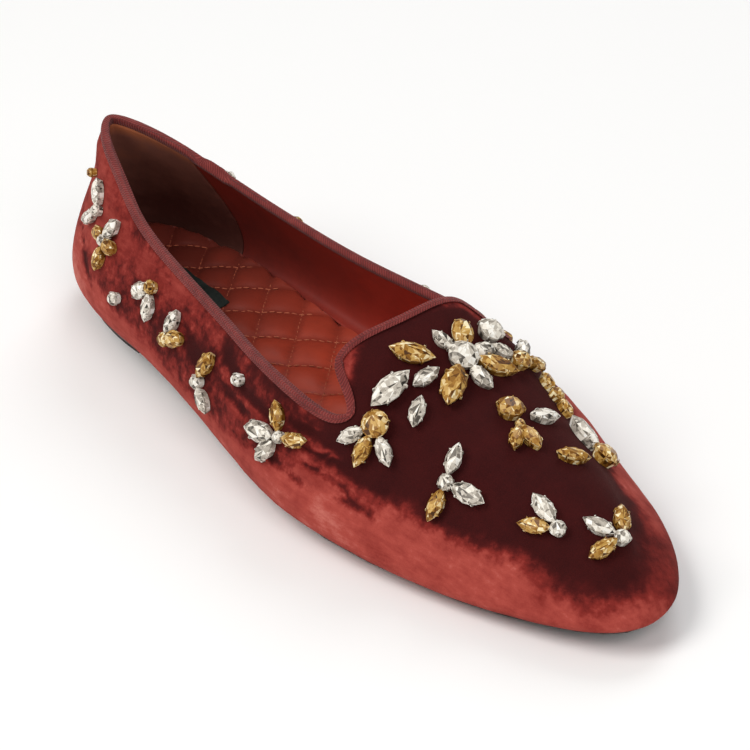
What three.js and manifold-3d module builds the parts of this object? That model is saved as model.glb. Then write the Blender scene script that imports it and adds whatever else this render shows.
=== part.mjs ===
// Velvet loafer for the right foot, with sprigs of set stones, in millimetres.
// x runs from heel to toe, y towards the inner side of the foot, z up from the floor.

import * as THREE from 'three';
import Module from 'manifold-3d';

const wasm = await Module();
wasm.setup();

// Driving sizes
const LENGTH = 262;             // feather edge, where upper meets sole, from heel to toe
const WALL = 2.0;               // velvet, stiffener and lining together
const CLEARANCE = 0.3;          // air between neighbouring pieces
const BULGE = 7.2;              // how far the soft wall swells out over the sole's edge
const BULGE_TOP = 0.6;          // share of the wall's height that the swell reaches
const FALL_POWER = 8;           // the top of the wall falls with the crest; higher keeps it nearer the crest
const CREST_FROM = 0.10;        // the crest line starts here, as a share of the length
const CREST_TO = 0.94;          // and ends here, over the toes
const HEEL_ROUND = { length: 0.19, power: 1.82 };
const TOE_ROUND = { length: 0.40, power: 1.88 };
const HEEL_FLARE = { out: 2.2, full: 0.73, power: 4, to: 0.30 };   // the collar opens out round the heel
const NOTCH = 0.664;            // station of the notch beside the tongue tab
const SOLE = 3.0;               // outsole thickness
const SOLE_WELT = { top: 1.0, underside: 0.4 };   // how far the outsole stands out past the feather edge
const INSOLE_INSET = 2.0;       // underside of the padded insole, inside the feather edge
const HEEL_LENGTH = 47;
const HEEL_INSET = { back: -0.4, breast: 4.2, power: 1.5 };   // heel lift's side, inside the feather edge
const TAPE = 0.5;               // thickness of the woven binding tape
const TAPE_GAP = 0.42;          // air between tape and wall
const TAPE_TILT_AT = 1.0;       // the tape lies as the wall does this far below the topline
const TAPE_DEPTH = 2.2;         // how far the tape reaches down each face of the wall
const TAPE_SHOULDER = 0.2;      // the tape's fold is bevelled down to this height over the topline
const OUTER = -1;
const INNER = 1;

// The last in plan: half widths of the feather edge to each side of a middle line
const PLAN = [
  // station, outer, inner, middle
  [0.00, 27.5, 24.0, 0.0],
  [0.10, 24.5, 24.5, 0.0],
  [0.20, 25.5, 24.4, 0.0],
  [0.42, 30.0, 26.1, 0.0],
  [0.58, 35.9, 33.7, 0.0],
  [0.70, 35.7, 38.3, 0.4],
  [0.80, 33.8, 34.8, 0.5],
  [0.90, 33.4, 31.8, 0.9],
  [1.00, 31.6, 30.0, -2.4],
];

// Height of the feather edge: heel seat, arch, ball and toe spring
const FEATHER = [
  // station, height
  [0.00, 6.3],
  [0.12, 9.3],
  [0.28, 10.6],
  [0.45, 5.6],
  [0.60, 3.3],
  [0.72, 3.2],
  [0.85, 3.5],
  [1.00, 7.5],
];

// The padded insole curls up against the back of the heel
const INSOLE = [
  // station, thickness, how far its top edge stands out past the feather edge
  [0.00, 10.2, 1.8],
  [0.05, 9.4, 1.8],
  [0.09, 6.4, 1.7],
  [0.15, 5.0, 1.2],
  [0.22, 4.0, 0.6],
  [0.31, 3.0, 0.3],
  [0.40, 3.0, 0.1],
  [0.50, 3.0, 0.0],
  [1.00, 3.0, 0.0],
];

// Height of the crest along the middle of the foot; behind the tab it only steers the lean of the walls
const CREST = [
  // share of the length, height
  [0.10, 85.5],
  [0.30, 79.0],
  [0.45, 73.5],
  [0.56, 63.2],
  [0.64, 52.3],
  [0.72, 41.0],
  [0.80, 35.8],
  [0.88, 30.5],
  [0.95, 24.0],
];

// How full the wall's section is: 1 is straight up to the crest, 2 an ellipse, more is squarer
const FULLNESS = [
  // station, power
  [0.00, 1.23],
  [0.40, 1.85],
  [0.62, 2.71],
  [0.80, 2.16],
  [1.00, 2.00],
];

// Height of the topline on both sides, from the heel to the notch
const TOPLINE = [
  // station, height
  [0.000, 63.0],
  [0.080, 57.9],
  [0.200, 49.2],
  [0.340, 44.7],
  [0.480, 41.5],
  [0.580, 39.7],
  [0.630, 38.0],
  [0.652, 37.9],
  [NOTCH, 39.4],
];

// Edge of the tongue tab, from the notch up to the crest
const TAB = [
  // share of the girth from notch to crest, station
  [0.00, NOTCH],
  [0.07, 0.660],
  [0.14, 0.651],
  [0.20, 0.6365],
  [0.26, 0.625],
  [0.34, 0.620],
  [0.46, 0.619],
  [0.62, 0.6205],
  [0.80, 0.623],
  [1.00, 0.626],
];

// Cuts of stone: width as a share of length, corners of the outline and how pointed its ends are
const MARQUISE = { width: 0.47, corners: 8, point: 0.72 };
const OVAL = { width: 0.70, corners: 8, point: 0 };
const ROUND = { width: 1.00, corners: 8, point: 0 };
const STONE_FOOT = 0.45;        // air between velvet and setting
const TABLE_HEIGHT = { base: 2.2, perWidth: 0.3 };   // over the velvet; wider stones are cut deeper
const GIRDLE_HEIGHT = 0.62;     // girdle's height as a share of the table's
const TABLE_SHARE = 0.58;       // table facet's size against the girdle's
const CUP_SHARE = 0.84;         // size of the setting's foot against the girdle's
const HUB_REACH = 0.64;         // leaves start at this share of their hub's radius, inside its setting

// Sprigs. Each has a hub stone and leaves that point away from it: leaf rows are cut, length, heading.
// Headings are in degrees from the toe's direction, turning up towards the crest. On the tight curve
// of the toe the leaves reach further under their hub.
const VAMP_SPRIGS = [
  { name: 'flower', side: INNER, station: 0.699, girth: 0.929, hub: 8.8,
    leaves: [[MARQUISE, 8.0, 163], [OVAL, 9.0, -148], [OVAL, 7.0, -86], [MARQUISE, 12.8, -48],
      [MARQUISE, 9.8, -4], [MARQUISE, 15.0, 48]] },
  { name: 'petal_back', side: OUTER, station: 0.671, girth: 0.945, leaf: [MARQUISE, 13.0, 45] },
  { name: 'petal_side', side: OUTER, station: 0.686, girth: 0.756, leaf: [MARQUISE, 14.4, -89] },
  { name: 'petal_small', side: OUTER, station: 0.701, girth: 0.921, leaf: [MARQUISE, 9.6, -86] },
  { name: 'petal_low', side: OUTER, station: 0.724, girth: 0.766, leaf: [MARQUISE, 9.7, -57] },
  { name: 'petal_inner', side: INNER, station: 0.674, girth: 0.715, hub: 7.6, leaves: [] },
  { name: 'sprig_crest', side: INNER, station: 0.790, girth: 0.900, hub: 7.6, leaves: [] },
  { name: 'sprig_crest_low', side: INNER, station: 0.817, girth: 0.917, hub: 2.6,
    leaves: [[MARQUISE, 9.0, 46], [MARQUISE, 9.6, 7]] },
  { name: 'petal_crest', side: INNER, station: 0.804, girth: 0.733, leaf: [MARQUISE, 9.4, -76] },
  { name: 'petal_toe', side: INNER, station: 0.875, girth: 0.764, leaf: [MARQUISE, 9.7, -60] },
  { name: 'sprig_toe_inner', side: INNER, station: 0.842, girth: 0.403, hub: 7.6,
    leaves: [[MARQUISE, 13.0, 169]] },
  { name: 'sprig_vamp_inner', side: INNER, station: 0.750, girth: 0.492, hub: 4.4,
    leaves: [[MARQUISE, 7.0, 172], [MARQUISE, 7.0, -8]] },
  { name: 'sprig_vamp_outer', side: OUTER, station: 0.796, girth: 0.540, hub: 4.5,
    leaves: [[MARQUISE, 9.5, 108], [MARQUISE, 11.3, 4], [MARQUISE, 9.6, -84]] },
  { name: 'sprig_notch_outer', side: OUTER, station: 0.697, girth: 0.577, hub: 7.7,
    leaves: [[MARQUISE, 9.2, -128], [MARQUISE, 10.0, -87], [MARQUISE, 9.3, -37]] },
  { name: 'sprig_notch_inner', side: INNER, station: 0.712, girth: 0.640, hub: 6.0,
    leaves: [[MARQUISE, 7.2, 128], [MARQUISE, 9.2, -142], [MARQUISE, 9.0, -92]] },
  { name: 'sprig_toe_outer', side: OUTER, station: 0.934, girth: 0.636, hub: 4.4,
    leaves: [[MARQUISE, 10.7, 165], [MARQUISE, 9.4, -153]] },
  { name: 'sprig_tip', side: INNER, station: 0.989, girth: 0.730, hub: 4.5, reach: 0.6,
    leaves: [[MARQUISE, 9.6, 152], [MARQUISE, 10.0, -144], [MARQUISE, 9.6, 86]] },
];

// The quarters carry the same sprigs on both sides of the foot
const QUARTER_SPRIGS = [
  { name: 'sprig_fan', station: 0.592, girth: 0.224, hub: 3.6,
    leaves: [[MARQUISE, 13.0, -169], [MARQUISE, 9.0, 122], [MARQUISE, 10.8, -126], [MARQUISE, 9.4, 18]] },
  { name: 'stud_waist', station: 0.499, girth: 0.272, hub: 3.9, leaves: [] },
  { name: 'sprig_arch', station: 0.426, girth: 0.184, hub: 4.4,
    leaves: [[MARQUISE, 10.3, 67], [MARQUISE, 8.6, -40]] },
  { name: 'sprig_side', station: 0.345, girth: 0.222, hub: 4.4,
    leaves: [[MARQUISE, 9.1, 75], [OVAL, 7.6, 22]] },
  { name: 'sprig_back', station: 0.285, girth: 0.322, hub: 4.4,
    leaves: [[OVAL, 7.6, -150], [MARQUISE, 8.8, -80]] },
  { name: 'stud_back', station: 0.224, girth: 0.226, hub: 4.2, leaves: [] },
  { name: 'sprig_heel', station: 0.154, girth: 0.351, hub: 3.8,
    leaves: [[MARQUISE, 9.5, 56], [OVAL, 6.6, -5], [MARQUISE, 8.4, -92], [OVAL, 6.0, 168]] },
  { name: 'sprig_counter', station: 0.106, girth: 0.402, hub: 3.8,
    leaves: [[MARQUISE, 9.0, 104], [MARQUISE, 8.6, -141]] },
  { name: 'stud_heel', station: 0.052, girth: 0.480, hub: 3.0, leaves: [] },
];

// Mesh counts
const QUARTER_COLUMNS = 20;
const VAMP_COLUMNS = 14;
const LOWER_ROWS = 8;
const SLAB_ROWS = 22;
const SLAB_ACROSS = 4;
const HEEL_ROWS = 9;
const WALK_STEPS = 40;
const STEP = 0.004;             // small step for slopes, as a share of length or girth
const HALF_TURN = 0.5;          // behind the middle of the shoe slopes look ahead, past it back
const CREST_BLEND = 0.05;       // share of the girth beside the crest where both sides' slopes are mixed
const ROW_CROWDING = 1.5;       // rows of the wall crowd towards the feather edge
const COLUMN_CROWDING = 0.6;    // columns of the vamp crowd towards tab and toe

// A smooth curve through one column of a table
function curve(rows, column = 1) {
  const slopes = rows.slice(1).map((row, i) => (row[column] - rows[i][column]) / (row[0] - rows[i][0]));
  const tangents = rows.map((row, i) => {
    if (i === 0) return slopes[0];
    if (i === rows.length - 1) return slopes[i - 1];
    const before = row[0] - rows[i - 1][0];
    const after = rows[i + 1][0] - row[0];
    return (slopes[i - 1] * after + slopes[i] * before) / (before + after);
  });
  return (x) => {
    const at = THREE.MathUtils.clamp(x, rows[0][0], rows[rows.length - 1][0]);
    let i = rows.findIndex((row) => row[0] > at) - 1;
    if (i < 0) i = rows.length - 2;
    const span = rows[i + 1][0] - rows[i][0];
    const t = (at - rows[i][0]) / span;
    const rise = rows[i + 1][column] - rows[i][column];
    const blend = t * t * (3 - 2 * t);
    const lead = t * (1 - t) * (1 - t) * span * tangents[i];
    const tail = t * t * (t - 1) * span * tangents[i + 1];
    return rows[i][column] + rise * blend + lead + tail;
  };
}

const halfWidth = { [OUTER]: curve(PLAN, 1), [INNER]: curve(PLAN, 2) };
const middle = curve(PLAN, 3);
const featherHeight = curve(FEATHER);
const insoleThickness = curve(INSOLE, 1);
const insoleEdge = curve(INSOLE, 2);
const crestHeight = curve(CREST);
const fullness = curve(FULLNESS);
const toplineHeight = curve(TOPLINE);
const tabStation = curve(TAB);

function roundedEnd(distance, { length, power }) {
  const share = THREE.MathUtils.clamp(distance / length, 0, 1);
  return (1 - (1 - share) ** power) ** (1 / power);
}

// A point of the feather edge
function feather(side, station) {
  const ends = roundedEnd(station, HEEL_ROUND) * roundedEnd(1 - station, TOE_ROUND);
  const y = middle(station) + side * halfWidth[side](station) * ends;
  return new THREE.Vector3(station * LENGTH, y, featherHeight(station));
}

const crestShare = (station) => CREST_FROM + (CREST_TO - CREST_FROM) * station;

function crest(station) {
  const share = crestShare(station);
  return new THREE.Vector3(share * LENGTH, middle(share), crestHeight(share));
}

function crestSlope(station) {
  const share = crestShare(station);
  return (crestHeight(share + STEP) - crestHeight(share - STEP)) / (2 * STEP * LENGTH);
}

// A point of the upper's outer face. Girth runs from 0 at the feather edge to 1 at the crest;
// past the crest it goes on down the other side.
function wallPoint(side, station, girth) {
  if (girth > 1) return wallPoint(-side, station, 2 - girth);
  const foot = feather(side, station);
  const top = crest(station);
  const quarterTurn = (Math.max(girth, 0) * Math.PI) / 2;
  const power = 2 / fullness(station);
  const rise = Math.sin(quarterTurn) ** power;
  const reach = 1 - Math.max(Math.cos(quarterTurn), 0) ** power;
  const swell = BULGE * Math.sin(Math.PI * Math.sqrt(Math.min(rise / BULGE_TOP, 1)));
  const inward = new THREE.Vector3(top.x - foot.x, top.y - foot.y, 0);
  const nearHeel = Math.max(1 - station / HEEL_FLARE.to, 0) ** 2;
  const flare = HEEL_FLARE.out * nearHeel * Math.min(rise / HEEL_FLARE.full, 1) ** HEEL_FLARE.power;
  const outward = inward.clone().normalize().multiplyScalar(-swell - flare);
  const point = foot.clone().addScaledVector(inward, reach).add(outward);
  const fall = crestSlope(station) * (point.x - top.x) * rise ** FALL_POWER;
  point.z = foot.z + (top.z - foot.z) * rise + fall;
  return point;
}

// Girth at which the wall reaches a height
function girthAtHeight(station, height) {
  const foot = featherHeight(station);
  const rise = (height - foot) / (crest(station).z - foot);
  return (Math.asin(rise ** (fullness(station) / 2)) * 2) / Math.PI;
}

function toplineGirth(station) {
  return girthAtHeight(station, toplineHeight(station));
}

function sideNormal(side, station, girth) {
  const s = THREE.MathUtils.clamp(station, STEP, 1 - STEP);
  const g = THREE.MathUtils.clamp(girth, STEP, 1 - STEP);
  const along = wallPoint(side, s + STEP, g).sub(wallPoint(side, s - STEP, g));
  const up = wallPoint(side, s, g + STEP).sub(wallPoint(side, s, g - STEP));
  return along.cross(up).multiplyScalar(-side).normalize();
}

// Outward direction of the wall; near the middle line of heel, toe and crest both sides have a say
function wallNormal(side, station, girth) {
  const fromMiddle = Math.min(station / STEP, (1 - station) / STEP, (1 - girth) / CREST_BLEND, 1);
  const normal = sideNormal(side, station, girth).multiplyScalar(1 + fromMiddle);
  return normal.addScaledVector(sideNormal(-side, station, girth), 1 - fromMiddle).normalize();
}

// Collects corners and triangles of one closed body; the same place gives the same corner
class Body {
  constructor() {
    this.points = [];
    this.outward = [];
    this.triangles = [];
    this.seen = new Map();
  }

  corner(point, outward) {
    const key = point.toArray().map((value) => Math.round(value * 10000) + 0).join(' ');
    if (!this.seen.has(key)) {
      this.seen.set(key, this.points.length);
      this.points.push(point);
      this.outward.push(outward);
    }
    return this.seen.get(key);
  }

  triangle(a, b, c) {
    if (a !== b && b !== c && c !== a) this.triangles.push([a, b, c]);
  }

  quad(a, b, c, d) {
    this.triangle(a, b, c);
    this.triangle(a, c, d);
  }

  geometry() {
    const geometry = new THREE.BufferGeometry();
    const values = this.points.flatMap((point) => point.toArray());
    geometry.setAttribute('position', new THREE.Float32BufferAttribute(values, 3));
    geometry.setIndex(this.triangles.flat());
    return geometry;
  }

  manifold() {
    return new wasm.Manifold(new wasm.Mesh({
      numProp: 3,
      vertProperties: new Float32Array(this.points.flatMap((point) => point.toArray())),
      triVerts: new Uint32Array(this.triangles.flat()),
    }));
  }
}

// Turns an open outer skin into a wall of even thickness, closed along its edges
function thicken(skin, thickness) {
  const count = skin.points.length;
  const inside = skin.points.map((point, i) => point.clone().addScaledVector(skin.outward[i], -thickness));
  const wall = new Body();
  wall.points = [...skin.points, ...inside];
  const edges = new Set();
  for (const [a, b, c] of skin.triangles) {
    wall.triangle(a, b, c);
    wall.triangle(c + count, b + count, a + count);
    for (const [from, to] of [[a, b], [b, c], [c, a]]) edges.add(`${from} ${to}`);
  }
  for (const edge of edges) {
    const [from, to] = edge.split(' ').map(Number);
    if (!edges.has(`${to} ${from}`)) wall.quad(to, from, from + count, to + count);
  }
  return wall;
}

// Spreads 0 to 1 with closer steps at both ends
function closeEnds(share) {
  return (1 - Math.cos(Math.PI * share)) / 2;
}

function closeEndsLightly(share) {
  return share - (COLUMN_CROWDING * Math.sin(2 * Math.PI * share)) / (2 * Math.PI);
}

// Rows crowd together near the feather edge, where the wall turns most
function rowShare(row) {
  return (row / LOWER_ROWS) ** ROW_CROWDING;
}

// The upper's grid: places from the heel to the notch, then the vamp from notch and tab to the toe,
// where the rows of both sides meet
function quarterPlace(side, column, row) {
  const station = NOTCH * closeEnds(column / QUARTER_COLUMNS);
  return { side, station, girth: toplineGirth(station) * rowShare(row) };
}

function vampPlace(side, column, row) {
  const ahead = column / VAMP_COLUMNS;
  const notchGirth = toplineGirth(NOTCH);
  const share = row > LOWER_ROWS ? TAB[row - LOWER_ROWS][0] : 0;
  const girth = row > LOWER_ROWS ? notchGirth + (1 - notchGirth) * share : notchGirth * rowShare(row);
  const back = tabStation(share);
  const station = back + (1 - back) * closeEndsLightly(ahead);
  return { side, station, girth };
}

function addPatch(skin, place, columns, rows, side) {
  const corner = (column, row) => {
    const at = place(side, column, row);
    const outward = wallNormal(at.side, at.station, at.girth);
    return skin.corner(wallPoint(at.side, at.station, at.girth), outward);
  };
  for (let column = 0; column < columns; column += 1) {
    for (let row = 0; row < rows; row += 1) {
      const a = corner(column, row);
      const b = corner(column + 1, row);
      const c = corner(column + 1, row + 1);
      const d = corner(column, row + 1);
      if (side === OUTER) skin.quad(a, b, c, d);
      else skin.quad(d, c, b, a);
    }
  }
}

function upper() {
  const skin = new Body();
  for (const side of [OUTER, INNER]) {
    addPatch(skin, quarterPlace, QUARTER_COLUMNS, LOWER_ROWS, side);
    addPatch(skin, vampPlace, VAMP_COLUMNS, LOWER_ROWS + TAB.length - 1, side);
  }
  return thicken(skin, WALL);
}

// Places along the whole topline: outer side from heel to tab, then the inner side back to the heel
function toplinePlaces() {
  const oneSide = (side) => {
    const places = [];
    for (let column = 0; column < QUARTER_COLUMNS; column += 1) {
      places.push(quarterPlace(side, column, LOWER_ROWS));
    }
    for (let row = LOWER_ROWS; row < LOWER_ROWS + TAB.length; row += 1) {
      places.push(vampPlace(side, 0, row));
    }
    return places;
  };
  const innerSide = oneSide(INNER).slice(1, -1).reverse();
  return [...oneSide(OUTER), ...innerSide];
}

// Woven tape folded over the topline: a channel swept round the edge, clear of the wall on both faces
function binding() {
  const places = toplinePlaces();
  const edge = places.map((at) => wallPoint(at.side, at.station, at.girth));
  const inFace = -WALL - TAPE_GAP;
  const section = [
    // out from the wall's outer face, down from the topline
    [TAPE_GAP + TAPE, TAPE_DEPTH],
    [TAPE_GAP + TAPE, -TAPE_SHOULDER],
    [TAPE_GAP, -CLEARANCE - TAPE],
    [inFace, -CLEARANCE - TAPE],
    [inFace - TAPE, -TAPE_SHOULDER],
    [inFace - TAPE, TAPE_DEPTH],
    [inFace, TAPE_DEPTH],
    [inFace, -CLEARANCE],
    [TAPE_GAP, -CLEARANCE],
    [TAPE_GAP, TAPE_DEPTH],
  ];
  const tape = new Body();
  const rings = places.map((at, i) => {
    const before = edge[(i + edge.length - 1) % edge.length];
    const after = edge[(i + 1) % edge.length];
    const along = after.clone().sub(before);
    const downAt = (out) => along.clone().cross(out).normalize();
    const below = walkTowards(at, downAt(wallFrame(at).out), TAPE_TILT_AT);
    const out = wallNormal(below.side, below.station, below.girth);
    const down = downAt(out);
    return section.map(([outward, depth]) => {
      const point = edge[i].clone().addScaledVector(out, outward).addScaledVector(down, depth);
      return tape.corner(point);
    });
  });
  rings.forEach((ring, i) => {
    const next = rings[(i + 1) % rings.length];
    ring.forEach((corner, k) => {
      const following = (k + 1) % ring.length;
      tape.quad(corner, next[k], next[following], ring[following]);
    });
  });
  return tape;
}

// A point of the feather edge in plan, moved outwards; minus moves it inwards
function edgeInPlan(side, station, outwards) {
  const point = feather(side, station);
  if (station <= 0) return new THREE.Vector2(point.x - outwards, point.y);
  if (station >= 1) return new THREE.Vector2(point.x + outwards, point.y);
  const ahead = feather(side, Math.min(station + STEP, 1));
  const behind = feather(side, Math.max(station - STEP, 0));
  const normal = new THREE.Vector2(ahead.y - behind.y, behind.x - ahead.x).normalize().multiplyScalar(-side);
  return new THREE.Vector2(point.x, point.y).addScaledVector(normal, outwards);
}

// A layer of the bottom between two heights, with an outline for its top and one for its underside
function slab(stations, topEdge, bottomEdge, topHeight, bottomHeight) {
  const layer = new Body();
  const face = (outwards, height) => stations.map((station) => {
    const outer = edgeInPlan(OUTER, station, outwards(station));
    const inner = edgeInPlan(INNER, station, outwards(station));
    const row = [];
    for (let k = 0; k <= SLAB_ACROSS; k += 1) {
      const at = outer.clone().lerp(inner, k / SLAB_ACROSS);
      row.push(layer.corner(new THREE.Vector3(at.x, at.y, height(at.x / LENGTH))));
    }
    return row;
  });
  const top = face(topEdge, topHeight);
  const bottom = face(bottomEdge, bottomHeight);
  const last = stations.length - 1;
  for (let i = 0; i < last; i += 1) {
    for (let k = 0; k < SLAB_ACROSS; k += 1) {
      layer.quad(top[i][k], top[i + 1][k], top[i + 1][k + 1], top[i][k + 1]);
      layer.quad(bottom[i][k + 1], bottom[i + 1][k + 1], bottom[i + 1][k], bottom[i][k]);
    }
    layer.quad(bottom[i][0], bottom[i + 1][0], top[i + 1][0], top[i][0]);
    const k = SLAB_ACROSS;
    layer.quad(top[i][k], top[i + 1][k], bottom[i + 1][k], bottom[i][k]);
  }
  for (let k = 0; k < SLAB_ACROSS; k += 1) {
    layer.quad(top[0][k], top[0][k + 1], bottom[0][k + 1], bottom[0][k]);
    layer.quad(bottom[last][k], bottom[last][k + 1], top[last][k + 1], top[last][k]);
  }
  return layer;
}

function spread(count, to) {
  return Array.from({ length: count + 1 }, (_, i) => closeEnds(i / count) * to);
}

const soleTop = (station) => featherHeight(station) - CLEARANCE;
const soleUnderside = (station) => Math.max(soleTop(station) - SOLE, 0);

function outsole() {
  const topEdge = () => SOLE_WELT.top;
  const bottomEdge = () => SOLE_WELT.underside;
  return slab(spread(SLAB_ROWS, 1), topEdge, bottomEdge, soleTop, soleUnderside);
}

function heelLift() {
  const stations = spread(HEEL_ROWS * 2, (2 * HEEL_LENGTH) / LENGTH).slice(0, HEEL_ROWS + 1);
  const top = (station) => soleUnderside(station) - CLEARANCE;
  const edge = (station) => {
    const toBreast = ((station * LENGTH) / HEEL_LENGTH) ** HEEL_INSET.power;
    return -THREE.MathUtils.lerp(HEEL_INSET.back, HEEL_INSET.breast, toBreast);
  };
  return slab(stations, edge, edge, top, () => 0);
}

function insole() {
  const underside = (station) => featherHeight(station) + CLEARANCE;
  const top = (station) => underside(station) + insoleThickness(station);
  const bottomEdge = () => -INSOLE_INSET;
  return slab(spread(SLAB_ROWS, 1), insoleEdge, bottomEdge, top, underside);
}

// Local directions on the wall: towards the toe, up towards the crest, and straight out
function wallFrame({ side, station, girth }) {
  const out = wallNormal(side, station, girth);
  const forward = new THREE.Vector3(1, 0, 0).addScaledVector(out, -out.x).normalize();
  const up = out.clone().cross(forward).multiplyScalar(-side);
  return { out, forward, up };
}

// Goes a distance forward and up over the wall in short steps; past the crest or the toe's middle
// line it is on the other side, where up is the other way. It steps along the turn of closeEnds,
// because the wall runs straight across the toe's middle line there.
function walk(place, forward, up) {
  let { side, girth } = place;
  let turn = Math.acos(1 - 2 * place.station) / Math.PI;
  const advance = forward / WALK_STEPS;
  let climb = up / WALK_STEPS;
  for (let i = 0; i < WALK_STEPS; i += 1) {
    const frame = wallFrame({ side, station: closeEnds(turn), girth });
    const here = wallPoint(side, closeEnds(turn), girth);
    const ahead = turn < HALF_TURN ? turn + STEP : turn;
    const perTurn = wallPoint(side, closeEnds(ahead), girth)
      .sub(wallPoint(side, closeEnds(ahead - STEP), girth));
    const perGirth = wallPoint(side, closeEnds(turn), girth + STEP).sub(here);
    const a = perTurn.dot(frame.forward);
    const b = perGirth.dot(frame.forward);
    const c = perTurn.dot(frame.up);
    const d = perGirth.dot(frame.up);
    const determinant = a * d - b * c;
    turn += (STEP * (advance * d - climb * b)) / determinant;
    girth += (STEP * (climb * a - advance * c)) / determinant;
    if (girth <= 1 && turn <= 1) continue;
    if (girth > 1) girth = 2 - girth;
    else turn = 2 - turn;
    side = -side;
    climb = -climb;
  }
  return { side, station: closeEnds(turn), girth };
}

// Direction along the wall: a heading in degrees from the toe's direction, turning up towards the crest
function headingOf(place, degrees) {
  const turn = THREE.MathUtils.degToRad(degrees);
  const { forward, up } = wallFrame(place);
  return forward.multiplyScalar(Math.cos(turn)).addScaledVector(up, Math.sin(turn));
}

function walkTowards(place, direction, distance) {
  const { forward, up } = wallFrame(place);
  return walk(place, distance * direction.dot(forward), distance * direction.dot(up));
}

// Outline of a stone seen from above, as places along and across it
function stoneOutline(cut, length) {
  return Array.from({ length: cut.corners }, (_, i) => {
    const angle = (2 * Math.PI * i) / cut.corners;
    const slim = 1 - (cut.point * Math.cos(angle) ** 2) / 2;
    return new THREE.Vector2(Math.cos(angle), Math.sin(angle) * slim * cut.width).multiplyScalar(length / 2);
  });
}

// One set stone: a foot that follows the velvet, a setting that widens to the girdle, and a cut crown
function stone(place, cut, length, pointing) {
  const { out } = wallFrame(place);
  const centre = wallPoint(place.side, place.station, place.girth);
  const axis = pointing.clone().addScaledVector(out, -pointing.dot(out)).normalize();
  const cross = out.clone().cross(axis);
  const outline = stoneOutline(cut, length);
  const body = new Body();
  const offset = (spot) => axis.clone().multiplyScalar(spot.x).addScaledVector(cross, spot.y);
  const onVelvet = (spot) => {
    const at = walkTowards(place, offset(spot), CUP_SHARE);
    const outThere = wallNormal(at.side, at.station, at.girth);
    const point = wallPoint(at.side, at.station, at.girth);
    return body.corner(point.addScaledVector(outThere, STONE_FOOT));
  };
  const above = (spot, share, height) => {
    const point = centre.clone().addScaledVector(offset(spot), share);
    return body.corner(point.addScaledVector(out, height));
  };
  const height = TABLE_HEIGHT.base + TABLE_HEIGHT.perWidth * cut.width * length;
  const foot = outline.map(onVelvet);
  const girdle = outline.map((spot) => above(spot, 1, GIRDLE_HEIGHT * height));
  const table = outline.map((spot) => above(spot, TABLE_SHARE, height));
  const under = body.corner(centre.clone().addScaledVector(out, STONE_FOOT));
  outline.forEach((_, i) => {
    const next = (i + 1) % outline.length;
    body.triangle(under, foot[next], foot[i]);
    body.quad(foot[i], foot[next], girdle[next], girdle[i]);
    body.quad(girdle[i], girdle[next], table[next], table[i]);
    body.triangle(table[0], table[i], table[next]);
  });
  return body;
}

// A hub stone and its leaves, joined where their settings meet; a lone leaf has no hub
function sprig(row, side) {
  const place = { side, station: row.station, girth: row.girth };
  if (row.leaf) {
    const [cut, length, heading] = row.leaf;
    return stone(place, cut, length, headingOf(place, heading));
  }
  const centre = wallPoint(side, row.station, row.girth);
  let joined = stone(place, ROUND, row.hub, headingOf(place, 0)).manifold();
  for (const [cut, length, heading] of row.leaves) {
    const distance = (row.hub * (row.reach ?? HUB_REACH) + length) / 2;
    const at = walkTowards(place, headingOf(place, heading), distance);
    const awayFromHub = wallPoint(at.side, at.station, at.girth).sub(centre);
    joined = joined.add(stone(at, cut, length, awayFromHub).manifold());
  }
  const mesh = joined.getMesh();
  const body = new Body();
  const corners = [];
  for (let i = 0; i < mesh.vertProperties.length; i += mesh.numProp) {
    corners.push(body.corner(new THREE.Vector3().fromArray(mesh.vertProperties, i)));
  }
  for (let i = 0; i < mesh.triVerts.length; i += 3) {
    body.triangle(...[0, 1, 2].map((k) => corners[mesh.triVerts[i + k]]));
  }
  return body;
}

// Assembly
const pieces = [
  ['outsole', outsole(), { color: 0x2b1a14, roughness: 0.6, metalness: 0 }],
  ['heel', heelLift(), { color: 0x1c1210, roughness: 0.5, metalness: 0 }],
  ['upper', upper(), { color: 0x7d2026, roughness: 0.85, metalness: 0 }],
  ['insole', insole(), { color: 0x8c3322, roughness: 0.5, metalness: 0 }],
  ['binding', binding(), { color: 0x742c33, roughness: 0.7, metalness: 0 }],
];
const stones = { color: 0xd9b670, roughness: 0.1, metalness: 0.3 };
for (const row of VAMP_SPRIGS) pieces.push([row.name, sprig(row, row.side), stones]);
for (const row of QUARTER_SPRIGS) {
  pieces.push([`${row.name}_outer`, sprig(row, OUTER), stones]);
  pieces.push([`${row.name}_inner`, sprig(row, INNER), stones]);
}

const shoe = new THREE.Group();
for (const [name, body, look] of pieces) {
  const mesh = new THREE.Mesh(body.geometry(), new THREE.MeshStandardMaterial(look));
  mesh.name = name;
  shoe.add(mesh);
}

// The frame's origin is on the floor under the middle of the shoe's box
const box = new THREE.Box3().setFromObject(shoe);
const centre = box.getCenter(new THREE.Vector3());
for (const mesh of shoe.children) mesh.geometry.translate(-centre.x, -centre.y, -box.min.z);

export default shoe;
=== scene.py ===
# %% [markdown]
# # A velvet loafer with set stones
# The solids of this right shoe come ready made, in metres, with the heel at minus X, the toe at plus X
# and the inner side of the foot at plus Y. They fix every size. This lesson dresses them: velvet, tape,
# a quilted insole, leather and faceted stones. A place on the shoe is given in millimetres: x from the
# sole's heel end, y from the middle line and z from the floor.

import math
import random

import bpy
from mathutils import Matrix, Vector, kdtree, noise
from mathutils.bvhtree import BVHTree


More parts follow.
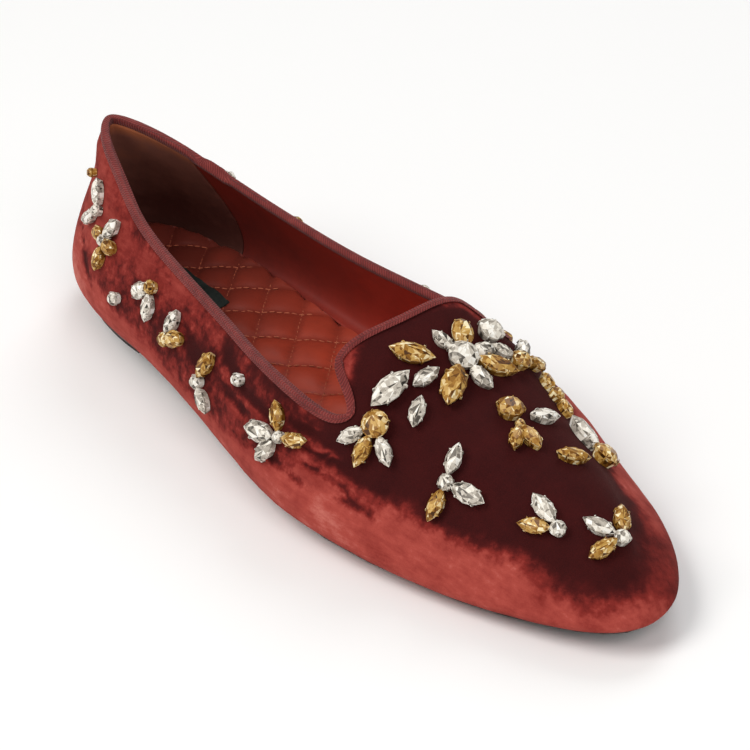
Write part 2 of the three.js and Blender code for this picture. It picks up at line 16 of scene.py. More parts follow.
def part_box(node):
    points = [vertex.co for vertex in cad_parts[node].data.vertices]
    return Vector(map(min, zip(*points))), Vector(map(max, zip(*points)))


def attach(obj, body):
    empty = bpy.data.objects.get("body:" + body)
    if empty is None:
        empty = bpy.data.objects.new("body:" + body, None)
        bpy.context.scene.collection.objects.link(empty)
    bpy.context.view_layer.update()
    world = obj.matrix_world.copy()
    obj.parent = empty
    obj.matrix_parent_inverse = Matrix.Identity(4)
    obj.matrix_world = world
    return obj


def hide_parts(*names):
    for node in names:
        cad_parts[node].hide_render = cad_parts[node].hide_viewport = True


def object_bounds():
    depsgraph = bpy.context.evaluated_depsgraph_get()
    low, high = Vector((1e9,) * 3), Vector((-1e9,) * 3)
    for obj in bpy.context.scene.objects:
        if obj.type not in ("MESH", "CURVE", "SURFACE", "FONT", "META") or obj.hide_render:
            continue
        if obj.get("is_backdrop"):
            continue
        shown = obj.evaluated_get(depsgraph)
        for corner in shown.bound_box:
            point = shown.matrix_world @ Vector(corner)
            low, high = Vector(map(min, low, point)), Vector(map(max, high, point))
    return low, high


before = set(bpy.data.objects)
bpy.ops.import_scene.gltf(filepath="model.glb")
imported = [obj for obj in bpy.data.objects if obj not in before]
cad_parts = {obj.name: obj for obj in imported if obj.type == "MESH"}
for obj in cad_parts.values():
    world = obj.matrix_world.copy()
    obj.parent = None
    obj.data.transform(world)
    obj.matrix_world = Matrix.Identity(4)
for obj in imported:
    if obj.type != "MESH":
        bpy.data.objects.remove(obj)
cad_low, cad_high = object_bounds()

MM = 0.001
HEEL_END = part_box("outsole")[0].x


def place(x, y, z):
    """A point of the scene from millimetres on the shoe."""
    return Vector((HEEL_END + x * MM, y * MM, z * MM))


def on_shoe(point):
    """The other way: millimetres on the shoe from a point of the scene."""
    return (point.x - HEEL_END) / MM, point.y / MM, point.z / MM


print("solids", len(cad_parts), "size in mm", [round(v / MM, 1) for v in cad_high - cad_low])

# %% [markdown]
# ## Working on copies
# The solids stay as they are, so each soft piece starts from a copy. A copy arrives as loose triangles.
# Merging its doubles and joining pairs of triangles gives a net of quads that a Subdivision Surface
# modifier can round off. The operators work on all that is selected, so each helper selects first.

# %% Helpers for copies, selections and modifiers
QUAD_ANGLE = math.radians(60)
QUAD_SHAPE = math.radians(120)


def only(piece):
    """Selects one object alone and makes it the active one."""
    bpy.ops.object.select_all(action="DESELECT")
    piece.select_set(True)
    bpy.context.view_layer.objects.active = piece


def edit(piece):
    """Opens an object in edit mode, with faces as what is selected and none of them selected."""
    only(piece)
    bpy.ops.object.mode_set(mode="EDIT")
    bpy.ops.mesh.select_mode(type="FACE")
    bpy.ops.mesh.select_all(action="DESELECT")


def edit_all(piece):
    """Opens an object in edit mode with all of it selected."""
    edit(piece)
    bpy.ops.mesh.select_all(action="SELECT")


def select_faces(piece, wanted):
    """Leaves an object in edit mode with the faces selected for which wanted(face) is true."""
    edit(piece)
    bpy.ops.object.mode_set(mode="OBJECT")
    for face in piece.data.polygons:
        face.select = bool(wanted(face))
    bpy.ops.object.mode_set(mode="EDIT")


def done():
    """Leaves edit mode."""
    bpy.ops.object.mode_set(mode="OBJECT")


def copy_of(node, name):
    """A separate object with a copy of a solid's mesh, joined up into quads."""
    piece = bpy.data.objects.new(name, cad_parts[node].data.copy())
    bpy.context.scene.collection.objects.link(piece)
    piece.data.materials.clear()
    only(piece)
    bpy.ops.mesh.customdata_custom_splitnormals_clear()
    edit_all(piece)
    bpy.ops.mesh.remove_doubles(threshold=0.001 * MM)
    bpy.ops.mesh.tris_convert_to_quads(
        face_threshold=QUAD_ANGLE, shape_threshold=QUAD_SHAPE, topology_influence=1.0
    )
    done()
    return piece


def apply(piece, kind, **settings):
    """Adds one modifier and applies it."""
    only(piece)
    modifier = piece.modifiers.new(kind.lower(), kind)
    for key, value in settings.items():
        setattr(modifier, key, value)
    bpy.ops.object.modifier_apply(modifier=modifier.name)


def round_off(piece, levels):
    """Subdivides a net of quads into a smooth surface."""
    apply(piece, "SUBSURF", levels=levels, render_levels=levels, boundary_smooth="PRESERVE_CORNERS")
    bpy.ops.object.shade_smooth()


def soft_step(low, high, value):
    """0 below low, 1 above high and a smooth rise in between."""
    share = min(max((value - low) / (high - low), 0.0), 1.0)
    return share * share * (3.0 - 2.0 * share)


def mix(first, second, share):
    return first + (second - first) * share


def level(rows, x):
    """Straight interpolation in a short table of (x, value) rows."""
    for (x0, v0), (x1, v1) in zip(rows, rows[1:]):
        if x <= x1:
            return mix(v0, v1, min(max((x - x0) / (x1 - x0), 0.0), 1.0))
    return rows[-1][1]


# %% [markdown]
# ## Finishes as formulas
# A finish is a node tree, and long trees are easier to read as sums. One small class wraps a shader
# socket and overloads the operators, and another owns the material and adds any other node by its type.

# %% Shader helpers
def paint(red, green, blue):
    """A colour as it looks on a screen, 0 to 255, as the linear values that shaders use."""
    linear = []
    for part in (red, green, blue):
        share = part / 255
        linear.append(share / 12.92 if share <= 0.04045 else ((share + 0.055) / 1.055) ** 2.4)
    return (*linear, 1.0)


class Value:
    """A shader socket that takes part in sums."""

    def __init__(self, finish, socket):
        self.finish = finish
        self.socket = socket

    def join(self, operation, first, second):
        return self.finish.add("Math", {"operation": operation}, {0: first, 1: second})

    def __add__(self, other):
        return self.join("ADD", self, other)

    def __radd__(self, other):
        return self.join("ADD", other, self)

    def __sub__(self, other):
        return self.join("SUBTRACT", self, other)

    def __rsub__(self, other):
        return self.join("SUBTRACT", other, self)

    def __mul__(self, other):
        return self.join("MULTIPLY", self, other)

    def __rmul__(self, other):
        return self.join("MULTIPLY", other, self)


class Finish:
    """One material, with the constant settings of its Principled shader."""

    def __init__(self, name, **constants):
        self.material = bpy.data.materials.new(name)
        self.material.use_nodes = True
        self.tree = self.material.node_tree
        self.shader = self.tree.nodes["Principled BSDF"]
        for socket, value in constants.items():
            self.shader.inputs[socket.replace("_", " ")].default_value = value

    def feed(self, socket, value):
        if isinstance(value, Value):
            self.tree.links.new(value.socket, socket)
        else:
            socket.default_value = value

    def add(self, kind, settings=None, sockets=None, output=0):
        """Adds a node of any kind and returns one of its outputs. stops are the stops of a ramp."""
        node = self.tree.nodes.new("ShaderNode" + kind)
        for key, value in (settings or {}).items():
            if key == "stops":
                self.set_stops(node.color_ramp, value)
            else:
                setattr(node, key, value)
        for key, value in (sockets or {}).items():
            self.feed(node.inputs[key], value)
        return Value(self, node.outputs[output])

    def set_stops(self, ramp, stops):
        while len(ramp.elements) < len(stops):
            ramp.elements.new(1.0)
        for element, (position, colour) in zip(ramp.elements, stops):
            element.position = position
            element.color = colour

    def grain(self, size, detail=2.0, stretch=1.0):
        """Noise of a size in millimetres, about 0.5 on average, drawn out along the shoe by stretch."""
        where = self.add("TexCoord", output="Object")
        drawn = self.add("Mapping", {}, {"Vector": where, "Scale": (1 / stretch, 1.0, 1.0)})
        return self.add(
            "TexNoise", {}, {"Vector": drawn, "Scale": 1 / (size * MM), "Detail": detail, "Roughness": 0.65}
        )

    def attribute(self, name):
        return self.add("Attribute", {"attribute_name": name}, output="Fac")

    def bump(self, height, distance, strength=1.0):
        """A normal that makes height, from 0 to 1, look distance millimetres deep."""
        return self.add(
            "Bump", {}, {"Height": height, "Distance": distance * MM, "Strength": strength}, "Normal"
        )

    def ramp(self, stops, value):
        """The colour that a ramp gives to a value."""
        return self.add("ValToRGB", {"stops": stops}, {"Fac": value})

    def wear(self, **sockets):
        """Feeds the varying inputs of the shader."""
        for name, value in sockets.items():
            self.feed(self.shader.inputs[name.replace("_", " ")], value)

    def on(self, piece):
        piece.data.materials.append(self.material)


# %% [markdown]
# ## The camera
# The part was matched to its photograph, and the same match gives the camera: a long lens that looks
# down on the toe and the outer side. The camera rolls a little, as it did in the hand. The small lens
# shift brings the shoe to the middle of the picture.

# %% Camera
AIM = place(132.0, -0.28, 25.0)
AZIMUTH = math.radians(57.744)
ELEVATION = math.radians(31.959)
ROLL = math.radians(-7.035)
DISTANCE = 0.76575
LENS = 127.9
SENSOR = 36.0
SHIFT = (0.0455, -0.0176)

back = Vector((
    math.sin(AZIMUTH) * math.cos(ELEVATION), -math.cos(AZIMUTH) * math.cos(ELEVATION), math.sin(ELEVATION)
))
level_right = Vector((math.cos(AZIMUTH), math.sin(AZIMUTH), 0.0))
level_up = back.cross(level_right)
right = level_right * math.cos(ROLL) + level_up * math.sin(ROLL)
up = level_up * math.cos(ROLL) - level_right * math.sin(ROLL)

bpy.ops.object.camera_add()
camera = bpy.context.object
turn = Matrix((right, up, back)).transposed().to_4x4()
camera.matrix_world = Matrix.Translation(AIM + back * DISTANCE) @ turn
camera.data.lens = LENS
camera.data.sensor_width = SENSOR
camera.data.shift_x, camera.data.shift_y = SHIFT
bpy.context.scene.camera = camera
print("camera at", [round(v, 3) for v in camera.matrix_world.translation])

# %% [markdown]
# ## The velvet skin
# The solid upper is one wall that stands for velvet, stiffener and lining. The velvet is its outer skin.
# A ray from each face into the wall tells a skin face, with 2 mm behind it, from a rim face, with far
# more, and the direction away from the foot's middle tells outer from inner. What is left over is
# deleted, and the skin is subdivided.

# %% Part the wall into skins
RIM_FROM = 2.6 * MM
CORE_BACK, CORE_FRONT, CORE_HEIGHT = 22.0, 236.0, 14.0
RAY_START = 0.05 * MM
SKIN_LEVELS = 2


def faces_away(face):
    """True if a face looks away from the middle of the foot."""
    x, _, _ = on_shoe(face.center)
    core = place(min(max(x, CORE_BACK), CORE_FRONT), 0.0, CORE_HEIGHT)
    return face.normal.dot(face.center - core) > 0


def tree_of(piece):
    """A search tree of an object's faces."""
    mesh = piece.data
    return BVHTree.FromPolygons([v.co for v in mesh.vertices], [tuple(f.vertices) for f in mesh.polygons])


def skin_of_upper(name, outer):
    """The outer or the inner skin of the upper's wall, as an open sheet of quads."""
    piece = copy_of("upper", name)
    tree = tree_of(piece)

    def left_over(face):
        _, _, _, behind = tree.ray_cast(face.center - face.normal * RAY_START, -face.normal)
        return behind is None or behind > RIM_FROM or faces_away(face) != outer

    select_faces(piece, left_over)
    bpy.ops.mesh.delete(type="FACE")
    done()
    return piece


velvet = skin_of_upper("velvet_upper", outer=True)
print("velvet skin", len(velvet.data.polygons), "faces before rounding off")
round_off(velvet, SKIN_LEVELS)

# %% [markdown]
# ## Topline
# The velvet's upper open edge is the topline of the shoe. Its points, in order round the opening, tell
# how far any point lies from the edge and how far along it, which the nap and the tape both need.

# %% Walk the topline
def open_loops(mesh):
    """The open edges of a sheet, each as a list of points in order."""
    uses = {}
    for face in mesh.polygons:
        for key in face.edge_keys:
            uses[key] = uses.get(key, 0) + 1
    links = {}
    for first, second in (key for key, count in uses.items() if count == 1):
        links.setdefault(first, []).append(second)
        links.setdefault(second, []).append(first)
    loops = []
    while links:
        loop = [next(iter(links))]
        while True:
            onward = [v for v in links.pop(loop[-1]) if v in links]
            if not onward:
                break
            loop.append(onward[0])
        loops.append([mesh.vertices[v].co.copy() for v in loop])
    return loops


loops = open_loops(velvet.data)
topline = max(loops, key=lambda loop: max(p.z for p in loop))
topline_tree = kdtree.KDTree(len(topline))
for number, point in enumerate(topline):
    topline_tree.insert(point, number)
topline_tree.balance()
steps = [(b - a).length for a, b in zip(topline, topline[1:] + topline[:1])]
reach_along = [sum(steps[:number]) for number in range(len(topline))]
TOPLINE_LENGTH = sum(steps)


def to_topline(point):
    """How far a point lies from the topline, in millimetres."""
    return topline_tree.find(point)[2] / MM


print("open edges", [len(loop) for loop in loops], "topline in mm", round(TOPLINE_LENGTH / MM, 1))

# %% [markdown]
# ## Creases
# Worn velvet folds where the foot bends and where the heel counter ends. Each main fold is given as a line
# on the side of the shoe, with a soft trough along it and a ridge just below. A slight
# crumple comes on top, so that no part of the pile is as even as sheet metal.

# %% Press the folds into the velvet
# side (-1 outer, 1 inner), start x and z, end x and z, half width, depth
CREASES = [
    (-1, 159.0, 32.4, 176.0, 31.2, 1.2, 0.80),
    (-1, 163.0, 29.0, 184.0, 26.0, 1.2, 1.20),
    (-1, 165.0, 25.1, 182.0, 23.2, 1.2, 1.00),
    (-1, 132.0, 32.2, 149.0, 30.6, 1.1, 0.70),
    (-1, 121.0, 29.0, 139.0, 26.8, 1.2, 0.70),
    (-1, 148.0, 22.5, 173.0, 18.6, 2.2, 0.60),
    (-1, 176.0, 21.0, 196.0, 18.0, 1.8, 0.60),
    (-1, 118.0, 37.5, 137.0, 29.5, 2.0, 0.40),
    (-1, 96.0, 34.0, 110.0, 27.0, 2.4, 0.35),
    (-1, 16.0, 35.0, 39.5, 20.5, 1.3, 0.40),
    (1, 155.0, 30.0, 178.0, 27.0, 1.8, 0.80),
    (1, 160.0, 25.5, 180.0, 21.5, 1.7, 0.55),
    (1, 112.0, 34.0, 132.0, 27.0, 2.2, 0.40),
    (1, 16.0, 35.0, 39.5, 20.5, 1.3, 0.40),
]
RIDGE_AT, RIDGE_SHARE = 1.9, 0.55
DEPTH_AT_ENDS, DEPTH_GAINED = 0.45, 0.55
EDGE_PARED, PARED_WIDTH = 0.28, 6.0
CRUMPLE_SIZE, CRUMPLE_DEPTH = 8.0, 0.16
PUFF_HEIGHT, PUFF_AT, PUFF_WIDTH = 0.9, 6.5, 4.0
PUFF_FULL, PUFF_GONE = 28, 62


def fold(row, x, y, z):
    """How far one crease moves a point out of the wall, in millimetres."""
    side, x0, z0, x1, z1, width, depth = row
    if side * y <= 0:
        return 0.0
    along = Vector((x1 - x0, z1 - z0))
    offset = Vector((x - x0, z - z0))
    share = min(max(offset.dot(along) / along.length_squared, 0.0), 1.0)
    away = offset - along * share
    below = -away.y / width
    trough = math.exp(-away.length_squared / width**2)
    ridge = RIDGE_SHARE * math.exp(-(below - RIDGE_AT) ** 2 - (away.x / width) ** 2)
    taper = DEPTH_AT_ENDS + DEPTH_GAINED * math.sin(math.pi * share)
    return depth * taper * (ridge - trough)


def pared(point):
    """How far the edge is pared down at a point, in millimetres, so that the tape folds thinly over it."""
    return EDGE_PARED * (1.0 - soft_step(0.0, PARED_WIDTH, to_topline(point)))


def puff(point):
    """How far the soft counter swells under the tape at the heel, in millimetres."""
    x, _, _ = on_shoe(point)
    swell = math.exp(-((to_topline(point) - PUFF_AT) / PUFF_WIDTH) ** 2)
    return PUFF_HEIGHT * swell * (1.0 - soft_step(PUFF_FULL, PUFF_GONE, x))


for vertex in velvet.data.vertices:
    x, y, z = on_shoe(vertex.co)
    shift = sum(fold(row, x, y, z) for row in CREASES) - pared(vertex.co) + puff(vertex.co)
    shift += CRUMPLE_DEPTH * noise.noise(Vector((x, y, z)) / CRUMPLE_SIZE)
    vertex.co += vertex.normal * shift * MM
velvet.data.update()
velvet_tree = tree_of(velvet)
print("creases", len(CREASES), "on", len(velvet.data.vertices), "points")

# %% [markdown]
# ## The nap, painted as sheen
# Velvet looks light where its pile leans away and dark where it stands towards the eye, so under this light
# the same cloth shows salmon along the sole and deep maroon on top of the vamp. A shader can't know how this
# pile was brushed, so this sheen is painted into the colour. Each point stores three numbers: lean, which
# decides between painted dark and painted light, glow, how light the painted light side is, and crush, how
# far the crumpled pile breaks up the border between the two.

# %% Tables of the painted nap sheen
# x, height up to which the pile is painted light, height from which it is painted dark
SHEEN_BAND = [(40, 20, 27), (60, 19, 26), (80, 17, 24), (100, 14, 20), (130, 13, 20), (150, 14, 24), (162, 15, 29),
        (174, 16, 29.5), (188, 17, 28.5), (204, 16, 26.5), (215, 14.5, 25), (228, 15, 25), (240, 12, 24),
        (251, 9, 21.5), (257, 8, 20.5), (264, 9, 21)]
# zone: lean, glow, crush
ZONES = {
    "band": (1.00, 0.70, 0.42),
    "toe": (0.98, 0.64, 0.18),
    "quarter": (0.52, 0.46, 0.50),
    "heel": (0.76, 0.56, 0.30),
    "vamp": (-0.05, 0.50, 0.35),
}
# x, y, z, radius, change of the glow: rubbed places whose frosty pile is painted with extra sheen
RUBBED_SHEEN_SPOTS = [
    (261, -10, 14.8, 6.0, 0.26),
    (229, -19, 20.5, 7.0, 0.14),
    (180, -38, 17.0, 9.0, 0.08),
    (20, -14, 18.0, 16.0, 0.18),
]
# x, z, half length, half height, change of the lean: patches of painted lighter and darker pile
PAINTED_SHEEN_SPOTS = [
    (50, 42, 14, 7, 0.18),
    (86, 42, 28, 4, 0.30),
    (48, 27, 16, 5, -0.22),
    (112, 28, 18, 7, -0.24),
    (155, 30, 20, 7, -0.12),
    (178, 21, 24, 4, 0.12),
    (30, 28, 8, 5, -0.20),
    (130, 22, 12, 4, 0.14),
]
print("nap zones", len(ZONES), "spots", len(PAINTED_SHEEN_SPOTS), "frosted places", len(RUBBED_SHEEN_SPOTS))

# %% [markdown]
# One function then paints the pile's sheen. The zones fade into each other along the shoe, the vamp's painted
# dark pile starts further forward low on the side, and the side of the toe that turns away is painted evenly
# half in shade. Painted shade darkens the pile along the tape, a painted highlight lightens the tab's
# corners, and the folds get a painted highlight on their ridges and painted shade in their troughs.

# %% Paint the nap's sheen
# from where to where along x each change takes place
VAMP_BEGINS, HEEL_FADES, TOE_BEGINS, TOE_TURNS = (158, 172), (34, 62), (215, 245), (242, 264)
# how much further forward the vamp's pile starts low down, and the heights between which that fades
VAMP_DELAY, VAMP_DELAY_FADES = 14.0, (27, 36)
# the side of the toe that turns away, painted evenly half in shade
AWAY_BEGINS, AWAY_SLANT, AWAY_SHEEN, AWAY_CRUSH = (-6.0, 8.0), 0.5, 0.42, 0.14
# along the tape, painted shade: distances between which it fades, where it starts and ends along x, change of
# the lean
TAPE_FADES, TAPE_STARTS, TAPE_ENDS, TAPE_SHADE = (1.5, 6.0), (36, 56), (156, 166), 0.16
# the tab's corners, a painted highlight: x, y, half size, distances from the tape between which they fade,
# change of the lean
CORNER_X, CORNER_Y, CORNER_HALF, CORNER_FADES, CORNER_HIGHLIGHT = 166.5, 21.5, 5.0, (2.0, 8.0), 0.75
# painted highlight on the folds' ridges and painted shade in their troughs
RIDGE_HIGHLIGHT, TROUGH_SHADE = 0.95, 0.55


def blend(first, second, share):
    """Mixes two zones."""
    return [mix(a, b, share) for a, b in zip(first, second)]


def painted_sheen_at(x, y, z, rim):
    """(lean, glow, crush) of a point that lies rim millimetres from the topline: the sheen of its pile,
    painted for this light.
    """
    vamp = soft_step(*VAMP_BEGINS, x - VAMP_DELAY * (1.0 - soft_step(*VAMP_DELAY_FADES, z)))
    heel = 1.0 - soft_step(*HEEL_FADES, x)
    toe = soft_step(*TOE_BEGINS, x)
    turned = soft_step(*TOE_TURNS, x + AWAY_SLANT * y)
    low = level([row[:2] for row in SHEEN_BAND], x)
    high = level([(row[0], row[2]) for row in SHEEN_BAND], x)
    above = soft_step(low, high, z)
    over = blend(blend(ZONES["quarter"], ZONES["heel"], heel), ZONES["vamp"], vamp)
    lean, glow, crush = blend(blend(ZONES["band"], ZONES["toe"], toe), over, above)
    # the toe's side that turns away is painted half in shade
    away_side = turned * soft_step(*AWAY_BEGINS, y)
    lean = mix(lean, AWAY_SHEEN, away_side)
    crush = mix(crush, AWAY_CRUSH, away_side)
    # rubbed places get extra painted sheen
    for spot_x, spot_y, spot_z, radius, change in RUBBED_SHEEN_SPOTS:
        away = (x - spot_x) ** 2 + (y - spot_y) ** 2 + (z - spot_z) ** 2
        glow += change * math.exp(-away / radius**2)
    for spot_x, spot_z, half_x, half_z, change in PAINTED_SHEEN_SPOTS:
        near = math.exp(-((x - spot_x) / half_x) ** 2 - ((z - spot_z) / half_z) ** 2)
        lean += change * near * (1 - vamp)
    # painted shade along the tape, and a painted highlight at the tab's corners
    under_tape = 1.0 - soft_step(*TAPE_FADES, rim)
    lean -= TAPE_SHADE * under_tape * soft_step(*TAPE_STARTS, x) * (1 - soft_step(*TAPE_ENDS, x))
    corner = ((x - CORNER_X) ** 2 + (abs(y) - CORNER_Y) ** 2) / CORNER_HALF**2
    lean += CORNER_HIGHLIGHT * math.exp(-corner) * (1.0 - soft_step(*CORNER_FADES, rim))
    # the folds: a painted highlight on each ridge and painted shade in each trough
    for row in CREASES:
        depth = row[-1]
        bend = fold(row, x, y, z) / depth
        lean += RIDGE_HIGHLIGHT * bend if bend > 0 else TROUGH_SHADE * bend
    return lean, glow, crush


def store(piece, name, values):
    """Keeps one number for each point of an object, for its shader."""
    layer = piece.data.attributes.new(name, "FLOAT", "POINT")
    layer.data.foreach_set("value", values)


# the painted sheen of every point of the velvet, for its shader
painted_nap = [painted_sheen_at(*on_shoe(vertex.co), to_topline(vertex.co)) for vertex in velvet.data.vertices]
for name, values in zip(("lean", "glow", "crush"), zip(*painted_nap)):
    store(velvet, name, values)
    print(name, "from", round(min(values), 2), "to", round(max(values), 2))

# %% [markdown]
# ## Velvet as a finish
# The ramp runs from maroon, the pile's painted shade, to salmon, its painted sheen. Noise in three sizes is
# added to the lean where the pile is crushed, and a smooth step then leads from painted dark to painted
# light, so the border is soft but fibrous. Rubbed pile gets an extra frosty painted sheen just inside that
# border, and long streaks and fine pile lie over everything.

# %% Velvet finish and thickness
VELVET_THICKNESS = 0.8
VELVET_STOPS = [
    (0.00, paint(44, 12, 13)),
    (0.22, paint(80, 23, 22)),
    (0.48, paint(128, 42, 37)),
    (0.75, paint(168, 72, 63)),
    (1.00, paint(206, 122, 110)),
]
# weights of the noises: at the border of painted dark and painted light, in the painted light pile, and over
# all of it
BORDER_PATCHES, BORDER_TUFTS, BORDER_SPECKS = 2.0, 0.7, 0.25
LIGHT_STREAKS, LIGHT_PATCHES = 0.45, 0.4
OVERALL_PATCHES, OVERALL_PILE = 0.12, 0.14
# values of the lean between which the pile turns painted light, and between which the painted frosty sheen
# fades
LIGHT_RISES, FROSTED_SHEEN_FADES = (0.10, 0.80), (0.50, 1.00)
# weight of the tufts in the painted frosty sheen, and its base
FROSTED_SHEEN_TUFTS, FROSTED_SHEEN_BASE = 1.6, 0.05
# painted shade of pile that stands towards the eye, depth and strength of the relief, and the weight of
# crushed pile in it
STANDING_PILE_SHADE, PILE_DEPTH, PILE_STRENGTH, CRUSHED_RELIEF = 0.07, 0.14, 0.7, 1.5
velvet_finish = Finish(
    "velvet", Roughness=0.95, Specular_IOR_Level=0.1,
    Sheen_Weight=0.05, Sheen_Roughness=0.4, Sheen_Tint=(0.9, 0.45, 0.40, 1.0),
)


def smooth_rise(finish, value, low, high):
    """0 below low, 1 above high, with a smooth rise in between, as a node."""
    return finish.add("MapRange", {"interpolation_type": "SMOOTHSTEP"}, {0: value, 1: low, 2: high})


patches = velvet_finish.grain(9.0, 3.0) - 0.5
tufts = velvet_finish.grain(2.6, 2.0) - 0.5
specks = velvet_finish.grain(0.7, 2.0) - 0.5
streaks = velvet_finish.grain(2.6, 3.0, stretch=6.0) - 0.5
pile = velvet_finish.grain(0.3, 1.0) - 0.5
crushed = velvet_finish.attribute("crush")
border = patches * BORDER_PATCHES + tufts * BORDER_TUFTS + specks * BORDER_SPECKS
# the painted sheen, broken up by noise where the pile is crushed
crushed_sheen = velvet_finish.attribute("lean") + border * crushed
light = smooth_rise(velvet_finish, crushed_sheen, *LIGHT_RISES)
frosted_sheen = light * (1 - smooth_rise(velvet_finish, crushed_sheen, *FROSTED_SHEEN_FADES))
bright = velvet_finish.attribute("glow") - STANDING_PILE_SHADE + streaks * LIGHT_STREAKS + patches * LIGHT_PATCHES
# the pile's painted sheen and painted shade as one value for the ramp
shade = light * bright + frosted_sheen * (tufts * crushed * FROSTED_SHEEN_TUFTS + FROSTED_SHEEN_BASE)
shade = shade + patches * OVERALL_PATCHES + pile * OVERALL_PILE + STANDING_PILE_SHADE
velvet_finish.wear(
    Base_Color=velvet_finish.ramp(VELVET_STOPS, shade),
    Normal=velvet_finish.bump(pile + (patches + tufts) * crushed * CRUSHED_RELIEF, PILE_DEPTH, PILE_STRENGTH),
)
velvet_finish.on(velvet)
apply(velvet, "SOLIDIFY", thickness=VELVET_THICKNESS * MM, offset=-1.0)
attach(velvet, "root")
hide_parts("upper")
print("velvet", len(velvet.data.polygons), "faces")

# %% [markdown]
# ## Lining and heel pocket
# Inside, the shoe is lined with rust red leather, and a darker brown pocket covers the heel counter.
# Both are the inner skin of the same wall. The pocket is the part of it behind a line, moved inwards by
# its own thickness.

# %% Line the inside
LINING_THICKNESS = 0.5
POCKET_FRONT = 41.0
POCKET_LIFT = 0.45
# change of the painted light, then from where to where it takes place: along x, in height for HIGH_RISES
# and in distance from the edge for EDGE_FADES: painted shade deep in the heel, painted light high up and a
# painted highlight at the edge
FRONT_PAINTED_LIGHT, FRONT_RISES = 0.75, (45, 150)
HIGH_PAINTED_LIGHT, HIGH_RISES, HIGH_FADES = 0.4, (22, 50), (45, 110)
EDGE_HIGHLIGHT, EDGE_FADES, EDGE_LEAVES = 0.5, (2.5, 6.0), (14, 60)


def painted_inside_light(point):
    """Painted light on the leather: painted shade deep in the heel that lifts towards the vamp, painted light
    high up in the heel and a painted highlight along the heel's edge.
    """
    x, _, z = on_shoe(point)
    high = HIGH_PAINTED_LIGHT * soft_step(*HIGH_RISES, z) * (1.0 - soft_step(*HIGH_FADES, x))
    rim_highlight = (1.0 - soft_step(*EDGE_FADES, to_topline(point))) * (1.0 - soft_step(*EDGE_LEAVES, x))
    return FRONT_PAINTED_LIGHT * soft_step(*FRONT_RISES, x) + high + EDGE_HIGHLIGHT * rim_highlight


def lining_piece(name, behind=None, lift=0.0):
    """The inner skin, or only what lies behind a line, lifted off the wall and thickened towards it."""
    piece = skin_of_upper(name, outer=False)
    round_off(piece, SKIN_LEVELS)
    if behind is not None:
        edit_all(piece)
        bpy.ops.mesh.bisect(plane_co=place(behind, 0, 0), plane_no=(1, 0, 0), clear_outer=True)
        done()
    # painted light and shade of each point: painted shade deep in the heel, painted light high up and along
    # its edge
    painted_light_tones = []
    for vertex in piece.data.vertices:
        painted_light_tones.append(painted_inside_light(vertex.co))
        vertex.co += vertex.normal * (lift - pared(vertex.co)) * MM
    store(piece, "tone", painted_light_tones)
    apply(piece, "SOLIDIFY", thickness=LINING_THICKNESS * MM, offset=-1.0)
    bpy.ops.object.shade_smooth()
    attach(piece, "root")
    return piece


lining = lining_piece("lining")
heel_pocket = lining_piece("heel_pocket", POCKET_FRONT, POCKET_LIFT)

# size and share of the mottle and of the finer clouds in it, size and depth of the pores
MOTTLE_SIZE, MOTTLE_SHARE, CLOUD_SIZE, CLOUD_SHARE = 14.0, 0.5, 2.5, 0.15
PORE_SIZE, PORE_DEPTH = 0.5, 0.05
LINING_STOPS = [(0.0, paint(106, 38, 32)), (0.45, paint(146, 47, 36)), (1.0, paint(194, 66, 48))]
POCKET_STOPS = [(0.0, paint(84, 45, 38)), (0.4, paint(130, 82, 69)), (1.0, paint(188, 108, 66))]


def leather_inside(name, stops, roughness):
    """Smooth lining leather: painted light and shade change along the shoe, with a mottle and fine pores."""
    finish = Finish(name, Roughness=roughness, Specular_IOR_Level=0.2)
    mottle = (finish.grain(MOTTLE_SIZE, 3.0) - 0.5) * MOTTLE_SHARE
    # the painted light and shade, with the leather's own mottle and clouds on top
    tone = finish.attribute("tone") + mottle + (finish.grain(CLOUD_SIZE, 2.0) - 0.5) * CLOUD_SHARE
    finish.wear(
        Base_Color=finish.ramp(stops, tone),
        Normal=finish.bump(finish.grain(PORE_SIZE, 1.0), PORE_DEPTH, 0.4),
    )
    return finish


leather_inside("lining_leather", LINING_STOPS, 0.5).on(lining)
leather_inside("pocket_leather", POCKET_STOPS, 0.6).on(heel_pocket)
print("lining", len(lining.data.polygons), "faces, pocket", len(heel_pocket.data.polygons))

# %% [markdown]
# ## Tape binding
# A ribbed woven tape is folded over the whole topline. Its ribs follow the edge, so the pattern can't
# come from plain coordinates: every corner stores how far along the topline it lies and how far from it.

# %% Bind the topline
RIB_PITCH = 0.95
RIB_SLANT = 0.9
WALL_MIDDLE = 1.0
FOLD_SQUEEZE, FOLD_DEPTH = 0.72, 0.84

tape = copy_of("binding", "tape_binding")
round_off(tape, 2)


def edge_ahead(number):
    """The direction of the topline at one of its points."""
    return (topline[(number + 1) % len(topline)] - topline[number - 1]).normalized()


def along_topline(point):
    """(distance along the topline, distance from it with inside negative), in metres."""
    nearest, number, away = topline_tree.find(point)
    ahead = edge_ahead(number).dot(point - nearest)
    inside = (point - nearest).dot(place(on_shoe(nearest)[0], 0, 0) - nearest) > 0
    return reach_along[number] + ahead, -away if inside else away


def pull_tight(point):
    """Draws the fold of the tape in over the pared edge: thinner, and less deep."""
    nearest, number, _ = topline_tree.find(point)
    along = edge_ahead(number)
    out = velvet_tree.find_nearest(nearest)[1]
    out = (out - along * out.dot(along)).normalized()
    down = along.cross(out)
    if down.z > 0:
        down.negate()
    offset = point - nearest
    squeeze = (1.0 - FOLD_SQUEEZE) * (offset.dot(out) + WALL_MIDDLE * MM)
    lift = (1.0 - FOLD_DEPTH) * max(offset.dot(down), 0.0)
    return point - out * squeeze - down * lift


